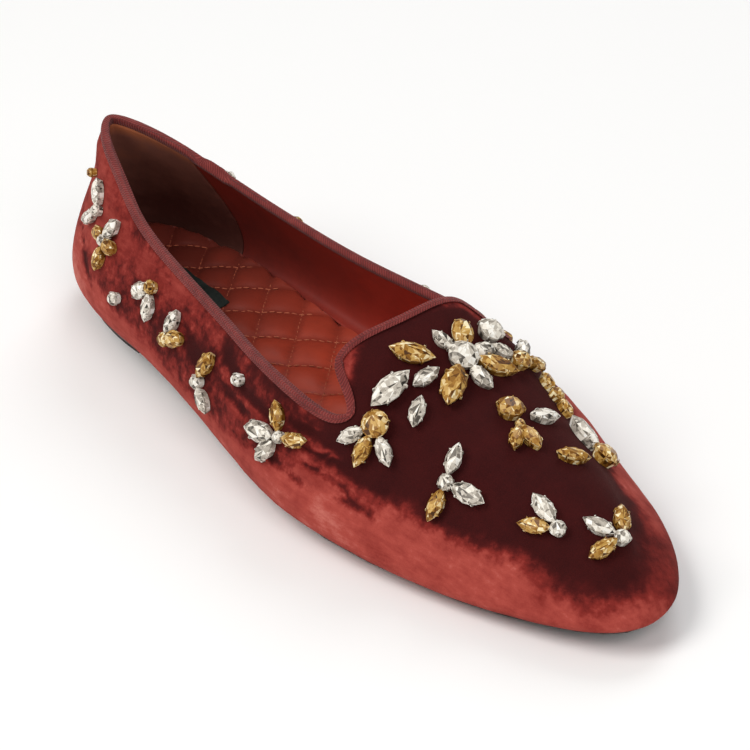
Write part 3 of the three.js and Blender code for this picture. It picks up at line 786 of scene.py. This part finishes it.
for vertex in tape.data.vertices:
    vertex.co = pull_tight(vertex.co)
tape.data.update()
places = [along_topline(vertex.co) for vertex in tape.data.vertices]
ribs = tape.data.attributes.new("ribs", "FLOAT", "CORNER")
for face in tape.data.polygons:
    lengths = [places[tape.data.loops[corner].vertex_index][0] for corner in face.loop_indices]
    for corner, length in zip(face.loop_indices, lengths):
        if max(lengths) - length > TOPLINE_LENGTH / 2:
            length += TOPLINE_LENGTH
        across = places[tape.data.loops[corner].vertex_index][1]
        ribs.data[corner].value = (length + RIB_SLANT * across) / (RIB_PITCH * MM)

# shares of the ribs and of the wear in the tape's tone, and the tone without either
RIB_SHARE, WEAR_SHARE, TAPE_BASE = 0.34, 0.7, 0.32
TAPE_STOPS = [(0.0, paint(74, 24, 24)), (0.5, paint(120, 44, 42)), (1.0, paint(160, 76, 70))]
tape_finish = Finish("woven_tape", Roughness=0.8, Specular_IOR_Level=0.2, Sheen_Weight=0.1)
wave = tape_finish.add("Math", {"operation": "SINE"}, {0: tape_finish.attribute("ribs") * math.tau})
rib = wave * 0.5 + 0.5
worn = tape_finish.grain(5.0, 2.0) - 0.5
tape_finish.wear(
    Base_Color=tape_finish.ramp(TAPE_STOPS, rib * RIB_SHARE + worn * WEAR_SHARE + TAPE_BASE),
    Normal=tape_finish.bump(rib, 0.25, 0.8),
)
tape_finish.on(tape)
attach(tape, "root")
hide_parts("binding")
print("tape", len(tape.data.polygons), "faces, ribs", round(TOPLINE_LENGTH / MM / RIB_PITCH))

# %% [markdown]
# ## Quilted insole
# The footbed is leather over foam, sewn down along two sets of slanting lines. The top is divided
# finely, and each point rises with its distance from the nearest seams, so every square is a pillow. Painted
# shade makes the leather a little darker in the seams and towards the heel, so it is lighter towards the toe.

# %% Quilt the insole
# direction of y in the line's sum, offset and spacing of the seams along x
SEAMS = [(1.0, 32.0, 17.6), (-1.0, 48.5, 18.0)]
QUILT_CUTS = 11
QUILT_SMOOTHING = 12
TOP_FACES_FROM = 0.6
PILLOW_HEIGHT, PILLOW_ROUNDING, SEAM_DEPTH = 2.0, 0.4, 1.1
# width and darkness of the painted shade in the seams
SEAM_WIDTH, SEAM_PAINTED_SHADE = 0.22, 0.24
# x between which the painted shade at the heel fades out towards the toe
HEEL_SHADE_FADES = (20, 150)
# the angle from which an edge of a soft piece shows as an edge
SOFT_EDGE = math.radians(50)

insole = copy_of("insole", "quilted_insole")
select_faces(insole, lambda face: face.normal.z > TOP_FACES_FROM)
bpy.ops.mesh.subdivide(number_cuts=QUILT_CUTS, smoothness=0.0)
bpy.ops.mesh.vertices_smooth(factor=0.5, repeat=QUILT_SMOOTHING)
done()


def seam_phase(row, x, y):
    """Where a point lies between two seams of one set: whole numbers are seams."""
    slope, offset, spacing = row
    return (x + slope * y - offset) / spacing


def pillow(x, y):
    """Height of the quilting over the flat footbed, in millimetres."""
    rise = 1.0
    for row in SEAMS:
        rise *= abs(math.sin(math.pi * seam_phase(row, x, y)))
    return PILLOW_HEIGHT * rise**PILLOW_ROUNDING - SEAM_DEPTH


def seam_shade(x, y):
    """1 on a seam, and nothing about a millimetre away from it."""
    nearest = min(abs(math.sin(math.pi * seam_phase(row, x, y))) for row in SEAMS)
    return math.exp(-((nearest / SEAM_WIDTH) ** 2))


for vertex in insole.data.vertices:
    if vertex.normal.z > TOP_FACES_FROM:
        x, y, _ = on_shoe(vertex.co)
        vertex.co.z += pillow(x, y) * MM
insole.data.update()
only(insole)
bpy.ops.object.shade_smooth_by_angle(angle=SOFT_EDGE)

# painted shade of each point: in the seams and towards the heel
painted_light_tones = []
for vertex in insole.data.vertices:
    x, y, _ = on_shoe(vertex.co)
    painted_light_tones.append(soft_step(*HEEL_SHADE_FADES, x) - SEAM_PAINTED_SHADE * seam_shade(x, y))
store(insole, "tone", painted_light_tones)
INSOLE_STOPS = [(0.0, paint(112, 44, 34)), (0.5, paint(146, 54, 38)), (1.0, paint(200, 78, 53))]
insole_finish = Finish("insole_leather", Roughness=0.42, Specular_IOR_Level=0.4)
# the painted shade, with a mottle of the leather's own on top
footbed_painted_light_and_mottle = insole_finish.attribute("tone") + (insole_finish.grain(16.0, 3.0) - 0.5) * 0.6
insole_finish.wear(
    Base_Color=insole_finish.ramp(INSOLE_STOPS, footbed_painted_light_and_mottle),
    Normal=insole_finish.bump(insole_finish.grain(PORE_SIZE, 1.0), PORE_DEPTH, 0.5),
)
insole_finish.on(insole)
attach(insole, "root")
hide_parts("insole")
print("insole", len(insole.data.polygons), "faces")

# %% [markdown]
# ## Stitches in the quilting
# The seams show as rows of short pale stitches. One stitch is modelled as a thin rounded bar, and copies
# of it are laid along every seam where the opening lets them be seen, each resting on the leather.

# %% Sew the insole
STITCH_LENGTH, STITCH_PITCH, STITCH_WIDTH = 1.7, 2.3, 0.40
SEWN_FROM, SEWN_TO = 4.0, 190.0
EDGE_ROOM = 2.5
SEAM_NUMBERS, STITCH_NUMBERS = range(-4, 16), range(-24, 25)

insole_tree = tree_of(insole)


def drop(tree, x, y, from_height=70.0):
    """Where a plumb line at (x, y) first meets a piece, or nothing."""
    return tree.ray_cast(place(x, y, from_height), Vector((0, 0, -1)))[0]


bpy.ops.object.select_all(action="DESELECT")
bpy.ops.mesh.primitive_cylinder_add(vertices=6, radius=0.5, depth=1.0, rotation=(0, math.pi / 2, 0))
stitch = bpy.context.object
bpy.ops.object.transform_apply(rotation=True)
edit_all(stitch)
bpy.ops.mesh.bevel(offset=0.2, segments=1)
done()
stitch_mesh = stitch.data
bpy.data.objects.remove(stitch)


def lay(mesh, matrix, name):
    """A new object with its own copy of a mesh, moved by a matrix."""
    piece = bpy.data.objects.new(name, mesh.copy())
    piece.data.transform(matrix)
    bpy.context.scene.collection.objects.link(piece)
    return piece


def frame_at(point, ahead, out):
    """A matrix that puts the X axis along ahead, as far as out allows, and the Z axis along out."""
    ahead = (ahead - out * ahead.dot(out)).normalized()
    turn = Matrix((ahead, out.cross(ahead), out)).transposed().to_4x4()
    return Matrix.Translation(point) @ turn


def join(pieces, name):
    """Makes one object of several."""
    bpy.ops.object.select_all(action="DESELECT")
    for piece in pieces:
        piece.select_set(True)
    bpy.context.view_layer.objects.active = pieces[0]
    bpy.ops.object.join()
    pieces[0].name = name
    return pieces[0]


def has_room(x, y):
    """True if a stitch at (x, y) is in reach of the opening and lies well inside the footbed's edge."""
    corners = [(x + a, y + b) for a in (-EDGE_ROOM, EDGE_ROOM) for b in (-EDGE_ROOM, EDGE_ROOM)]
    return SEWN_FROM < x < SEWN_TO and all(drop(insole_tree, *corner) is not None for corner in corners)


def lay_stitch(x, y, ahead):
    """One stitch that follows the slope of the leather along its seam."""
    half = ahead * STITCH_LENGTH / 2
    behind = drop(insole_tree, x - half.x, y - half.y)
    before = drop(insole_tree, x + half.x, y + half.y)
    over = (before - behind).cross(Vector((-ahead.y, ahead.x, 0.0))).normalized()
    matrix = frame_at((behind + before) / 2, before - behind, over)
    return lay(stitch_mesh, matrix @ stitch_size, "stitch")


stitches = []
stitch_size = Matrix.Diagonal((STITCH_LENGTH * MM, STITCH_WIDTH * MM, STITCH_WIDTH * MM, 1.0))
for slope, offset, spacing in SEAMS:
    ahead = Vector((1.0, -slope, 0.0)).normalized()
    for seam in SEAM_NUMBERS:
        for number in STITCH_NUMBERS:
            y = number * STITCH_PITCH * math.sqrt(0.5)
            x = offset + seam * spacing - slope * y
            if has_room(x, y):
                stitches.append(lay_stitch(x, y, ahead))
sewing = join(stitches, "quilt_stitches")
only(sewing)
bpy.ops.object.shade_smooth()
thread_finish = Finish("thread", Roughness=0.7, Base_Color=paint(182, 96, 67))
thread_finish.on(sewing)
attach(sewing, "root")
print("stitches", len(stitches))

# %% [markdown]
# ## Label
# A plain woven label lies on the heel seat, a little askew. It is a flat grid that is let down onto the
# quilting, smoothed and given a little thickness.

# %% Lay the label
LABEL_BACK, LABEL_FRONT, LABEL_HALF = 30.0, 66.0, 4.4
LABEL_THICKNESS = 0.5
LABEL_LIFT = 0.35
LABEL_SKEW = 0.03
LABEL_CELLS = (36, 14)


def mottled(name, stops, size, detail, **constants):
    """A finish whose colour wanders along a ramp, with noise of a size in millimetres."""
    finish = Finish(name, **constants)
    finish.wear(Base_Color=finish.ramp(stops, finish.grain(size, detail)))
    return finish


bpy.ops.object.select_all(action="DESELECT")
bpy.ops.mesh.primitive_grid_add(x_subdivisions=LABEL_CELLS[0], y_subdivisions=LABEL_CELLS[1], size=1.0)
label = bpy.context.object
label.name = "label"
for vertex in label.data.vertices:
    x = mix(LABEL_BACK, LABEL_FRONT, vertex.co.x + 0.5)
    y = 2.0 * LABEL_HALF * vertex.co.y + LABEL_SKEW * (LABEL_FRONT - x)
    ground = drop(insole_tree, x, y)
    vertex.co = place(x, y, ground.z / MM + LABEL_LIFT)
apply(label, "SMOOTH", factor=0.5, iterations=6)
apply(label, "SOLIDIFY", thickness=LABEL_THICKNESS * MM, offset=0.0)
bpy.ops.object.shade_smooth_by_angle(angle=SOFT_EDGE)
LABEL_STOPS = [(0.3, paint(20, 30, 27)), (0.7, paint(32, 44, 39))]
mottled("label_cloth", LABEL_STOPS, 0.8, 2.0, Roughness=0.7).on(label)
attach(label, "root")
print("label", len(label.data.polygons), "faces")

# %% [markdown]
# ## Sole and heel
# The outsole is a thin leather sole with a dark edge, and the heel a low stack of leather lifts. Both
# keep the form of their solids. The edges are bevelled, because no cut leather edge is as sharp as a
# solid's, and the joints between the lifts are cut by bisecting and pressed in.

# %% Finish the sole and the heel
EDGE_BEVEL = 0.5
# angles from which an edge shows as an edge
SOLE_EDGE, HEEL_EDGE = math.radians(40), math.radians(30)
LIFT_JOINTS = [2.6, 4.8]
JOINT_HALF, JOINT_DEPTH = 0.2, 0.25

outsole = copy_of("outsole", "leather_outsole")
apply(outsole, "BEVEL", width=EDGE_BEVEL * MM, segments=2, limit_method="ANGLE", angle_limit=SOLE_EDGE)
bpy.ops.object.shade_smooth_by_angle(angle=SOLE_EDGE)

heel = copy_of("heel", "stacked_heel")
for joint in LIFT_JOINTS:
    for cut in (joint - JOINT_HALF, joint, joint + JOINT_HALF):
        edit_all(heel)
        bpy.ops.mesh.bisect(plane_co=(0, 0, cut * MM), plane_no=(0, 0, 1))
        done()
for vertex in heel.data.vertices:
    if any(abs(vertex.co.z / MM - joint) < JOINT_HALF / 2 for joint in LIFT_JOINTS):
        vertex.co -= Vector((vertex.normal.x, vertex.normal.y, 0.0)) * JOINT_DEPTH * MM
heel.data.update()
only(heel)
bpy.ops.object.shade_smooth_by_angle(angle=HEEL_EDGE)

SOLE_STOPS = [(0.3, paint(44, 26, 22)), (0.7, paint(64, 38, 31))]
HEEL_STOPS = [(0.3, paint(28, 20, 18)), (0.7, paint(42, 30, 26))]
sole_finish = mottled("sole_leather", SOLE_STOPS, 6.0, 4.0, Roughness=0.45, Specular_IOR_Level=0.4)
heel_finish = mottled("heel_edge", HEEL_STOPS, 3.0, 4.0, Roughness=0.5, Specular_IOR_Level=0.35)
for piece, node, finish, slot in [
    (outsole, "outsole", sole_finish, "sole_leather"), (heel, "heel", heel_finish, "heel_lift")
]:
    finish.on(piece)
    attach(piece, "root")
    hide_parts(node)
print("outsole", len(outsole.data.polygons), "faces, heel", len(heel.data.polygons))

# %% [markdown]
# ## Cutting the stones
# Three cuts of stone are sewn on: pointed ovals, ovals and rounds. Each is cut once. Rings of points
# stand for girdle, break facets and table, and their convex hull is a faceted stone with flat facets, as
# a cutter leaves it. The pointed cut squeezes every ring towards its ends.

# %% Cut a stone
STONE_LENGTH = 10.0
# height, share of the girdle, points, turn in steps
STONE_RINGS = [
    (0.90, 0.66, 16, 0.0),
    (2.05, 0.99, 16, 0.0),
    (2.30, 0.99, 16, 0.0),
    (2.95, 0.82, 8, 0.5),
    (3.50, 0.56, 8, 0.0),
]
# cut, width over length, pointed, angles of the claws
CUTS = {
    "marquise": (0.47, True, (62, 118, 242, 298)),
    "oval": (0.70, False, (40, 140, 220, 320)),
    "round": (1.00, False, (45, 135, 225, 315)),
}


def squeeze(mesh, width, pointed):
    """Turns rings of a circle into rings of the cut's outline."""
    for vertex in mesh.vertices:
        reach = math.hypot(vertex.co.x, vertex.co.y)
        if pointed and reach > 0:
            vertex.co.y *= abs(vertex.co.y) / reach
        vertex.co.y *= width


def stone_blank(width, pointed):
    """The faceted stone of one cut."""
    radius = STONE_LENGTH / 2 * MM
    bpy.ops.object.select_all(action="DESELECT")
    for number, (height, share, points, step) in enumerate(STONE_RINGS):
        bpy.ops.mesh.primitive_circle_add(
            vertices=points, radius=radius * share, location=(0, 0, height * MM),
            rotation=(0, 0, step * math.tau / points),
        )
        if number == 0:
            piece = bpy.context.object
            bpy.ops.object.transform_apply(location=True, rotation=True)
            bpy.ops.object.mode_set(mode="EDIT")
    done()
    squeeze(piece.data, width, pointed)
    edit_all(piece)
    bpy.ops.mesh.convex_hull()
    done()
    return piece


print("cuts", list(CUTS))

# %% [markdown]
# ## Settings
# The brass cup is a circle that is extruded upwards in steps. The last step turns back inside, so its
# rim has a thickness. A claw is a small circle that is extruded in the same way, up outside the cup and
# in over the girdle.

# %% Model cups and claws
# height, share of the girdle
CUP_RINGS = [(0.15, 0.80), (1.6, 0.97), (2.2, 1.02), (2.25, 0.97), (1.7, 0.90)]
# height, share of the girdle's reach, half thickness
CLAW_RINGS = [(1.2, 1.02, 0.26), (2.3, 1.04, 0.27), (2.75, 0.97, 0.24), (2.95, 0.88, 0.15)]
CUP_SIDES, CLAW_SIDES = 16, 6


def drawn_up(sides, rings):
    """A filled circle that is extruded from ring to ring, each with a centre and a radius in millimetres."""
    centre, radius = rings[0]
    bpy.ops.object.select_all(action="DESELECT")
    bpy.ops.mesh.primitive_circle_add(
        vertices=sides, radius=radius * MM, location=centre * MM, fill_type="NGON"
    )
    piece = bpy.context.object
    bpy.ops.object.transform_apply(location=True)
    edit_all(piece)
    for (centre, radius), (next_centre, next_radius) in zip(rings, rings[1:]):
        step = (next_centre - centre) * MM
        bpy.ops.mesh.extrude_region_move(TRANSFORM_OT_translate={"value": step})
        bpy.ops.transform.resize(value=[next_radius / radius] * 3)
    bpy.ops.mesh.select_all(action="SELECT")
    bpy.ops.mesh.normals_make_consistent(inside=False)
    done()
    return piece


def cup_blank(width, pointed):
    """The brass cup of one cut, open at the top."""
    reach = STONE_LENGTH / 2
    piece = drawn_up(CUP_SIDES, [(Vector((0, 0, height)), reach * share) for height, share in CUP_RINGS])
    squeeze(piece.data, width, pointed)
    return piece


def claw_blank(width, pointed, angle):
    """One claw that rises outside the cup and bends over the girdle."""
    x = math.cos(math.radians(angle))
    y = math.sin(math.radians(angle))
    foot = Vector((x, (y * abs(y) if pointed else y) * width, 0.0)) * STONE_LENGTH / 2
    rings = [(foot * share + Vector((0, 0, height)), half) for height, share, half in CLAW_RINGS]
    piece = drawn_up(CLAW_SIDES, rings)
    bpy.ops.object.shade_smooth()
    return piece


def set_stone(cut):
    """A stone in its setting: material 0 is the stone and 1 the brass."""
    width, pointed, claw_angles = CUTS[cut]
    stone = stone_blank(width, pointed)
    brass = [cup_blank(width, pointed)]
    brass += [claw_blank(width, pointed, angle) for angle in claw_angles]
    for part in [stone] + brass:
        part.data.materials.append(None)
        part.data.materials.append(None)
    for part in brass:
        for face in part.data.polygons:
            face.material_index = 1
    whole = join([stone] + brass, cut)
    mesh = whole.data
    bpy.data.objects.remove(whole)
    return mesh


stone_meshes = {cut: set_stone(cut) for cut in CUTS}
for cut, mesh in stone_meshes.items():
    print(cut, len(mesh.polygons), "faces")

# %% [markdown]
# ## Stone and brass as finishes
# A foiled stone shows its facets as a patchwork of light and dark, because each facet mirrors another
# part of the room. That patchwork is painted: every facet gets its own number, sparkle, and small cells
# inside it break it up again, as the facets behind do. A ramp turns both into painted reflections in the
# stone's colours, under a soft gloss.

# %% Stone and brass finishes
# colours of the painted reflections of clear and amber stones, from dark to bright
CLEAR_STOPS = [
    (0.00, paint(40, 36, 31)), (0.22, paint(108, 101, 92)), (0.45, paint(184, 175, 162)),
    (0.72, paint(240, 233, 220)), (1.00, paint(255, 254, 248)),
]
AMBER_STOPS = [
    (0.00, paint(48, 26, 8)), (0.25, paint(110, 67, 20)), (0.50, paint(162, 115, 47)),
    (0.75, paint(210, 171, 98)), (1.00, paint(255, 244, 203)),
]
# size of the cells in a facet, shares of facets and cells in a stone's painted reflections, and how much
# darker it is
CELL_SIZE, FACET_SHARE, CELL_SHARE, STONE_DARKER = 1.5, 0.65, 0.5, 0.04


def stone_finish(name, stops):
    """The finish of one tint of stone."""
    finish = Finish(name, Roughness=0.3, Specular_IOR_Level=0.2, IOR=1.5)
    sparkle = finish.attribute("sparkle")
    where = finish.add("TexCoord", output="Object")
    apart = finish.add("CombineXYZ", {}, {"X": sparkle, "Y": sparkle * 3.0, "Z": sparkle * 7.0})
    moved = finish.add("VectorMath", {"operation": "ADD"}, {0: where, 1: apart})
    cells = finish.add(
        "TexVoronoi", {"voronoi_dimensions": "3D"}, {"Vector": moved, "Scale": 1 / (CELL_SIZE * MM)}, "Color"
    )
    cell = finish.add("SeparateColor", {}, {"Color": cells})
    finish.wear(Base_Color=finish.ramp(stops, sparkle * FACET_SHARE + cell * CELL_SHARE - STONE_DARKER))
    return finish


stone_finishes = {
    "clear": stone_finish("clear_stone", CLEAR_STOPS),
    "amber": stone_finish("amber_stone", AMBER_STOPS),
}
brass_finish = Finish("brass_setting", Roughness=0.3, Metallic=1.0, Base_Color=paint(196, 152, 78))
print("finishes", len(bpy.data.materials))

# %% [markdown]
# ## Seating the sprigs
# A sprig is a round hub with leaves that point away from it. The tables give the hub's place and the
# leaves' headings: 0 points to the toe, and positive headings turn up towards the crest.

# %% Tables of the sprigs
OUTER, INNER = -1, 1
CLEAR, AMBER = "clear", "amber"
POINTED, OVAL, ROUND = "marquise", "oval", "round"

# node, x, y, z, hub as (size, tint), leaves as (cut, length, heading, tint)
VAMP_SPRIGS = [
    ("flower", 181.6, 6.8, 44.7, (8.8, CLEAR), [
        (POINTED, 8.0, 163, CLEAR), (OVAL, 9.0, -148, AMBER), (OVAL, 7.0, -86, CLEAR),
        (POINTED, 12.8, -48, AMBER), (POINTED, 9.8, -4, CLEAR), (POINTED, 15.0, 48, AMBER)]),
    ("petal_inner", 176.6, 19.9, 44.6, (7.6, CLEAR), []),
    ("sprig_crest", 202.3, 6.0, 37.2, (7.6, AMBER), []),
    ("sprig_crest_low", 208.2, 4.6, 36.1, (2.6, AMBER), [
        (POINTED, 9.0, 46, AMBER), (POINTED, 9.6, 7, AMBER)]),
    ("sprig_toe_inner", 219.9, 21.7, 22.7, (7.6, AMBER), [(POINTED, 13.0, 169, CLEAR)]),
    ("sprig_vamp_inner", 196.2, 25.7, 30.1, (4.4, AMBER), [
        (POINTED, 7.0, 172, AMBER), (POINTED, 7.0, -8, AMBER)]),
    ("sprig_vamp_outer", 207.3, -19.2, 29.4, (4.5, CLEAR), [
        (POINTED, 9.5, 108, CLEAR), (POINTED, 11.3, 4, CLEAR), (POINTED, 9.6, -84, AMBER)]),
    ("sprig_notch_outer", 182.7, -23.1, 37.9, (7.7, AMBER), [
        (POINTED, 9.2, -128, CLEAR), (POINTED, 10.0, -87, AMBER), (POINTED, 9.3, -37, CLEAR)]),
    ("sprig_notch_inner", 186.1, 22.3, 38.1, (6.0, AMBER), [
        (POINTED, 7.2, 128, CLEAR), (POINTED, 9.2, -142, CLEAR), (POINTED, 9.0, -92, AMBER)]),
    ("sprig_toe_outer", 239.8, -8.8, 25.7, (4.4, CLEAR), [
        (POINTED, 10.7, 165, CLEAR), (POINTED, 9.4, -153, AMBER)]),
    ("sprig_tip", 251.2, 1.8, 23.1, (4.5, CLEAR), [
        (POINTED, 9.6, 152, CLEAR), (POINTED, 10.0, -144, AMBER), (POINTED, 9.6, 86, AMBER)]),
]
# node, x, y, z, the one leaf
PETALS = [
    ("petal_back", 175.2, -5.2, 48.5, (POINTED, 13.0, 45, AMBER)),
    ("petal_side", 179.4, -15.8, 43.9, (POINTED, 14.4, -89, CLEAR)),
    ("petal_small", 182.1, -6.1, 44.4, (POINTED, 9.6, -86, CLEAR)),
    ("petal_low", 188.3, -13.8, 39.6, (POINTED, 9.7, -57, CLEAR)),
    ("petal_crest", 207.5, 13.1, 34.1, (POINTED, 9.4, -76, CLEAR)),
    ("petal_toe", 223.7, 9.3, 31.1, (POINTED, 9.7, -60, AMBER)),
]
# name, x, y on the outer and on the inner side, z, hub, leaves
QUARTER_SPRIGS = [
    ("sprig_fan", 156.1, 37.3, 35.6, 28.2, (3.6, CLEAR), [
        (POINTED, 13.0, -169, CLEAR), (POINTED, 9.0, 122, AMBER),
        (POINTED, 10.8, -126, CLEAR), (POINTED, 9.4, 18, AMBER)]),
    ("stud_waist", 131.7, 33.2, 29.8, 34.0, (3.9, CLEAR), []),
    ("sprig_arch", 111.2, 34.8, 31.0, 24.6, (4.4, CLEAR), [
        (POINTED, 10.3, 67, AMBER), (POINTED, 8.6, -40, CLEAR)]),
    ("sprig_side", 89.8, 31.6, 28.3, 28.1, (4.4, AMBER), [
        (POINTED, 9.1, 75, CLEAR), (OVAL, 7.6, 22, AMBER)]),
    ("sprig_back", 76.0, 26.1, 24.0, 37.5, (4.4, AMBER), [
        (OVAL, 7.6, -150, CLEAR), (POINTED, 8.8, -80, CLEAR)]),
    ("stud_back", 57.5, 29.2, 27.8, 27.4, (4.2, CLEAR), []),
    ("sprig_heel", 42.9, 22.2, 22.0, 38.5, (3.8, CLEAR), [
        (POINTED, 9.5, 56, CLEAR), (OVAL, 6.6, -5, AMBER),
        (POINTED, 8.4, -92, AMBER), (OVAL, 6.0, 168, AMBER)]),
    ("sprig_counter", 33.0, 17.3, 17.4, 43.2, (3.8, CLEAR), [
        (POINTED, 9.0, 104, CLEAR), (POINTED, 8.6, -141, CLEAR)]),
    ("stud_heel", 23.0, 10.8, 10.3, 50.4, (3.0, AMBER), []),
]

print("vamp sprigs", len(VAMP_SPRIGS), "petals", len(PETALS), "quarter sprigs", 2 * len(QUARTER_SPRIGS))

# %% [markdown]
# Each stone is let down onto the nearest point of the velvet and stands square to it, so it sits right
# from any side. A leaf starts a little under its hub's edge. When a sprig is joined, its box is compared
# with the box of its solid.

# %% Seat the stones on the velvet
# share of the hub's size at which a leaf starts, in most sprigs and in the one at the toe's tip
HUB_REACH, TIP_REACH = 0.72, 0.62
# height of the table over the velvet: a base, and a share of the stone's width
TABLE_BASE, TABLE_PER_WIDTH = 2.2, 0.3
dice = random.Random(11)
box_misses = {}


def side_of(y):
    """The side of the shoe that a sprig lies on."""
    return INNER if y > 0 else OUTER


def seat_frame(point, side, heading):
    """The matrix of a stone on the velvet near a point, turned to a heading in degrees."""
    spot, out, _, _ = velvet_tree.find_nearest(point)
    toe = (Vector((1, 0, 0)) - out * out.x).normalized()
    crest = out.cross(toe) * -side
    turn = math.radians(heading)
    return frame_at(spot, toe * math.cos(turn) + crest * math.sin(turn), out)


def lay_stone(cut, length, tint, matrix):
    """One set stone of a length, cut and tint, with its own sparkle on every facet."""
    size = length / STONE_LENGTH
    deep = (TABLE_BASE + TABLE_PER_WIDTH * CUTS[cut][0] * length) / STONE_RINGS[-1][0]
    piece = lay(stone_meshes[cut], matrix @ Matrix.Diagonal((size, size, deep, 1.0)), "stone")
    piece.data.materials[0] = stone_finishes[tint].material
    piece.data.materials[1] = brass_finish.material
    sparkle = piece.data.attributes.new("sparkle", "FLOAT", "FACE")
    for value in sparkle.data:
        value.value = dice.random()
    return piece


def seat_sprig(node, point, hub, leaves, reach=HUB_REACH):
    """A hub and its leaves as one piece that stands for a solid."""
    side = side_of(point.y)
    stones = [lay_stone(ROUND, hub[0], hub[1], seat_frame(point, side, 0))]
    centre = seat_frame(point, side, 0).translation
    for cut, length, heading, tint in leaves:
        ahead = seat_frame(point, side, heading).col[0].to_3d()
        away = (hub[0] * reach + length) / 2 * MM
        matrix = seat_frame(centre + ahead * away, side, 0)
        matrix = frame_at(matrix.translation, ahead, matrix.col[2].to_3d())
        stones.append(lay_stone(cut, length, tint, matrix))
    finish_sprig(node, stones, hub[1])


def finish_sprig(node, stones, tint):
    """Joins the stones of a sprig and notes how far its box is from that of its solid."""
    piece = join(stones, node + "_stones")
    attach(piece, "root")
    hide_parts(node)
    tint + "_stone"
    low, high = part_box(node)
    points = [v.co for v in piece.data.vertices]
    misses = []
    for axis in range(3):
        misses.append(abs(min(p[axis] for p in points) - low[axis]))
        misses.append(abs(max(p[axis] for p in points) - high[axis]))
    box_misses[node] = max(misses) / MM


for node, x, y, z, hub, leaves in VAMP_SPRIGS:
    seat_sprig(node, place(x, y, z), hub, leaves, TIP_REACH if node == "sprig_tip" else HUB_REACH)
for node, x, y, z, (cut, length, heading, tint) in PETALS:
    matrix = seat_frame(place(x, y, z), side_of(y), heading)
    finish_sprig(node, [lay_stone(cut, length, tint, matrix)], tint)
for name, x, y_outer, y_inner, z, hub, leaves in QUARTER_SPRIGS:
    seat_sprig(name + "_outer", place(x, -y_outer, z), hub, leaves)
    seat_sprig(name + "_inner", place(x, y_inner, z), hub, leaves)
worst = max(box_misses, key=box_misses.get)
print("sprigs", len(box_misses), "furthest from its solid", worst, round(box_misses[worst], 2), "mm")

# %% [markdown]
# ## Floor and light
# A plain pale floor and large soft lights stand for a studio. The room is left grey rather than white,
# so that the facets have something dark to mirror, and the lights do the brightening.

# %% Floor, lights and world
FLOOR_SIZE = 6.0
ROOM_COLOUR, ROOM_STRENGTH = (0.94, 0.93, 0.91, 1.0), 0.36
# place, size, power, colour
LIGHTS = [
    ((-0.2, -0.9, 1.3), 1.0, 13.0, (1.0, 0.98, 0.95)),
    ((1.2, -0.3, 1.1), 0.9, 8.5, (1.0, 1.0, 1.0)),
    ((-0.6, 1.0, 1.2), 0.9, 7.0, (0.96, 0.98, 1.0)),
]

bpy.ops.object.select_all(action="DESELECT")
bpy.ops.mesh.primitive_plane_add(size=FLOOR_SIZE)
floor = bpy.context.object
floor.name = "floor"
floor_finish = Finish("pale_floor", Roughness=0.9, Specular_IOR_Level=0.1, Base_Color=paint(250, 250, 250))
floor_finish.on(floor)
floor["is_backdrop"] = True

for spot, size, power, colour in LIGHTS:
    bpy.ops.object.light_add(type="AREA", location=spot)
    lamp = bpy.context.object
    lamp.data.shape = "DISK"
    lamp.data.size = size
    lamp.data.energy = power
    lamp.data.color = colour
    lamp.rotation_euler = (AIM - Vector(spot)).to_track_quat("-Z", "Y").to_euler()

world = bpy.data.worlds.new("studio")
world.use_nodes = True
room = world.node_tree.nodes["Background"]
room.inputs["Color"].default_value = ROOM_COLOUR
room.inputs["Strength"].default_value = ROOM_STRENGTH
bpy.context.scene.world = world
bpy.context.scene.view_settings.view_transform = "Standard"
print("lights", len(LIGHTS))

# %% [markdown]
# ## Size
# Soft pieces may stand a little proud of the solids, never more. How far the new box stands past the
# solids' box at each end is printed.

# %% Print how far the boxes differ
new_low, new_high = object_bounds()
for end, proud in (("low", cad_low - new_low), ("high", new_high - cad_high)):
    print("stands proud at the", end, "end in mm", [round(v / MM, 2) for v in proud])
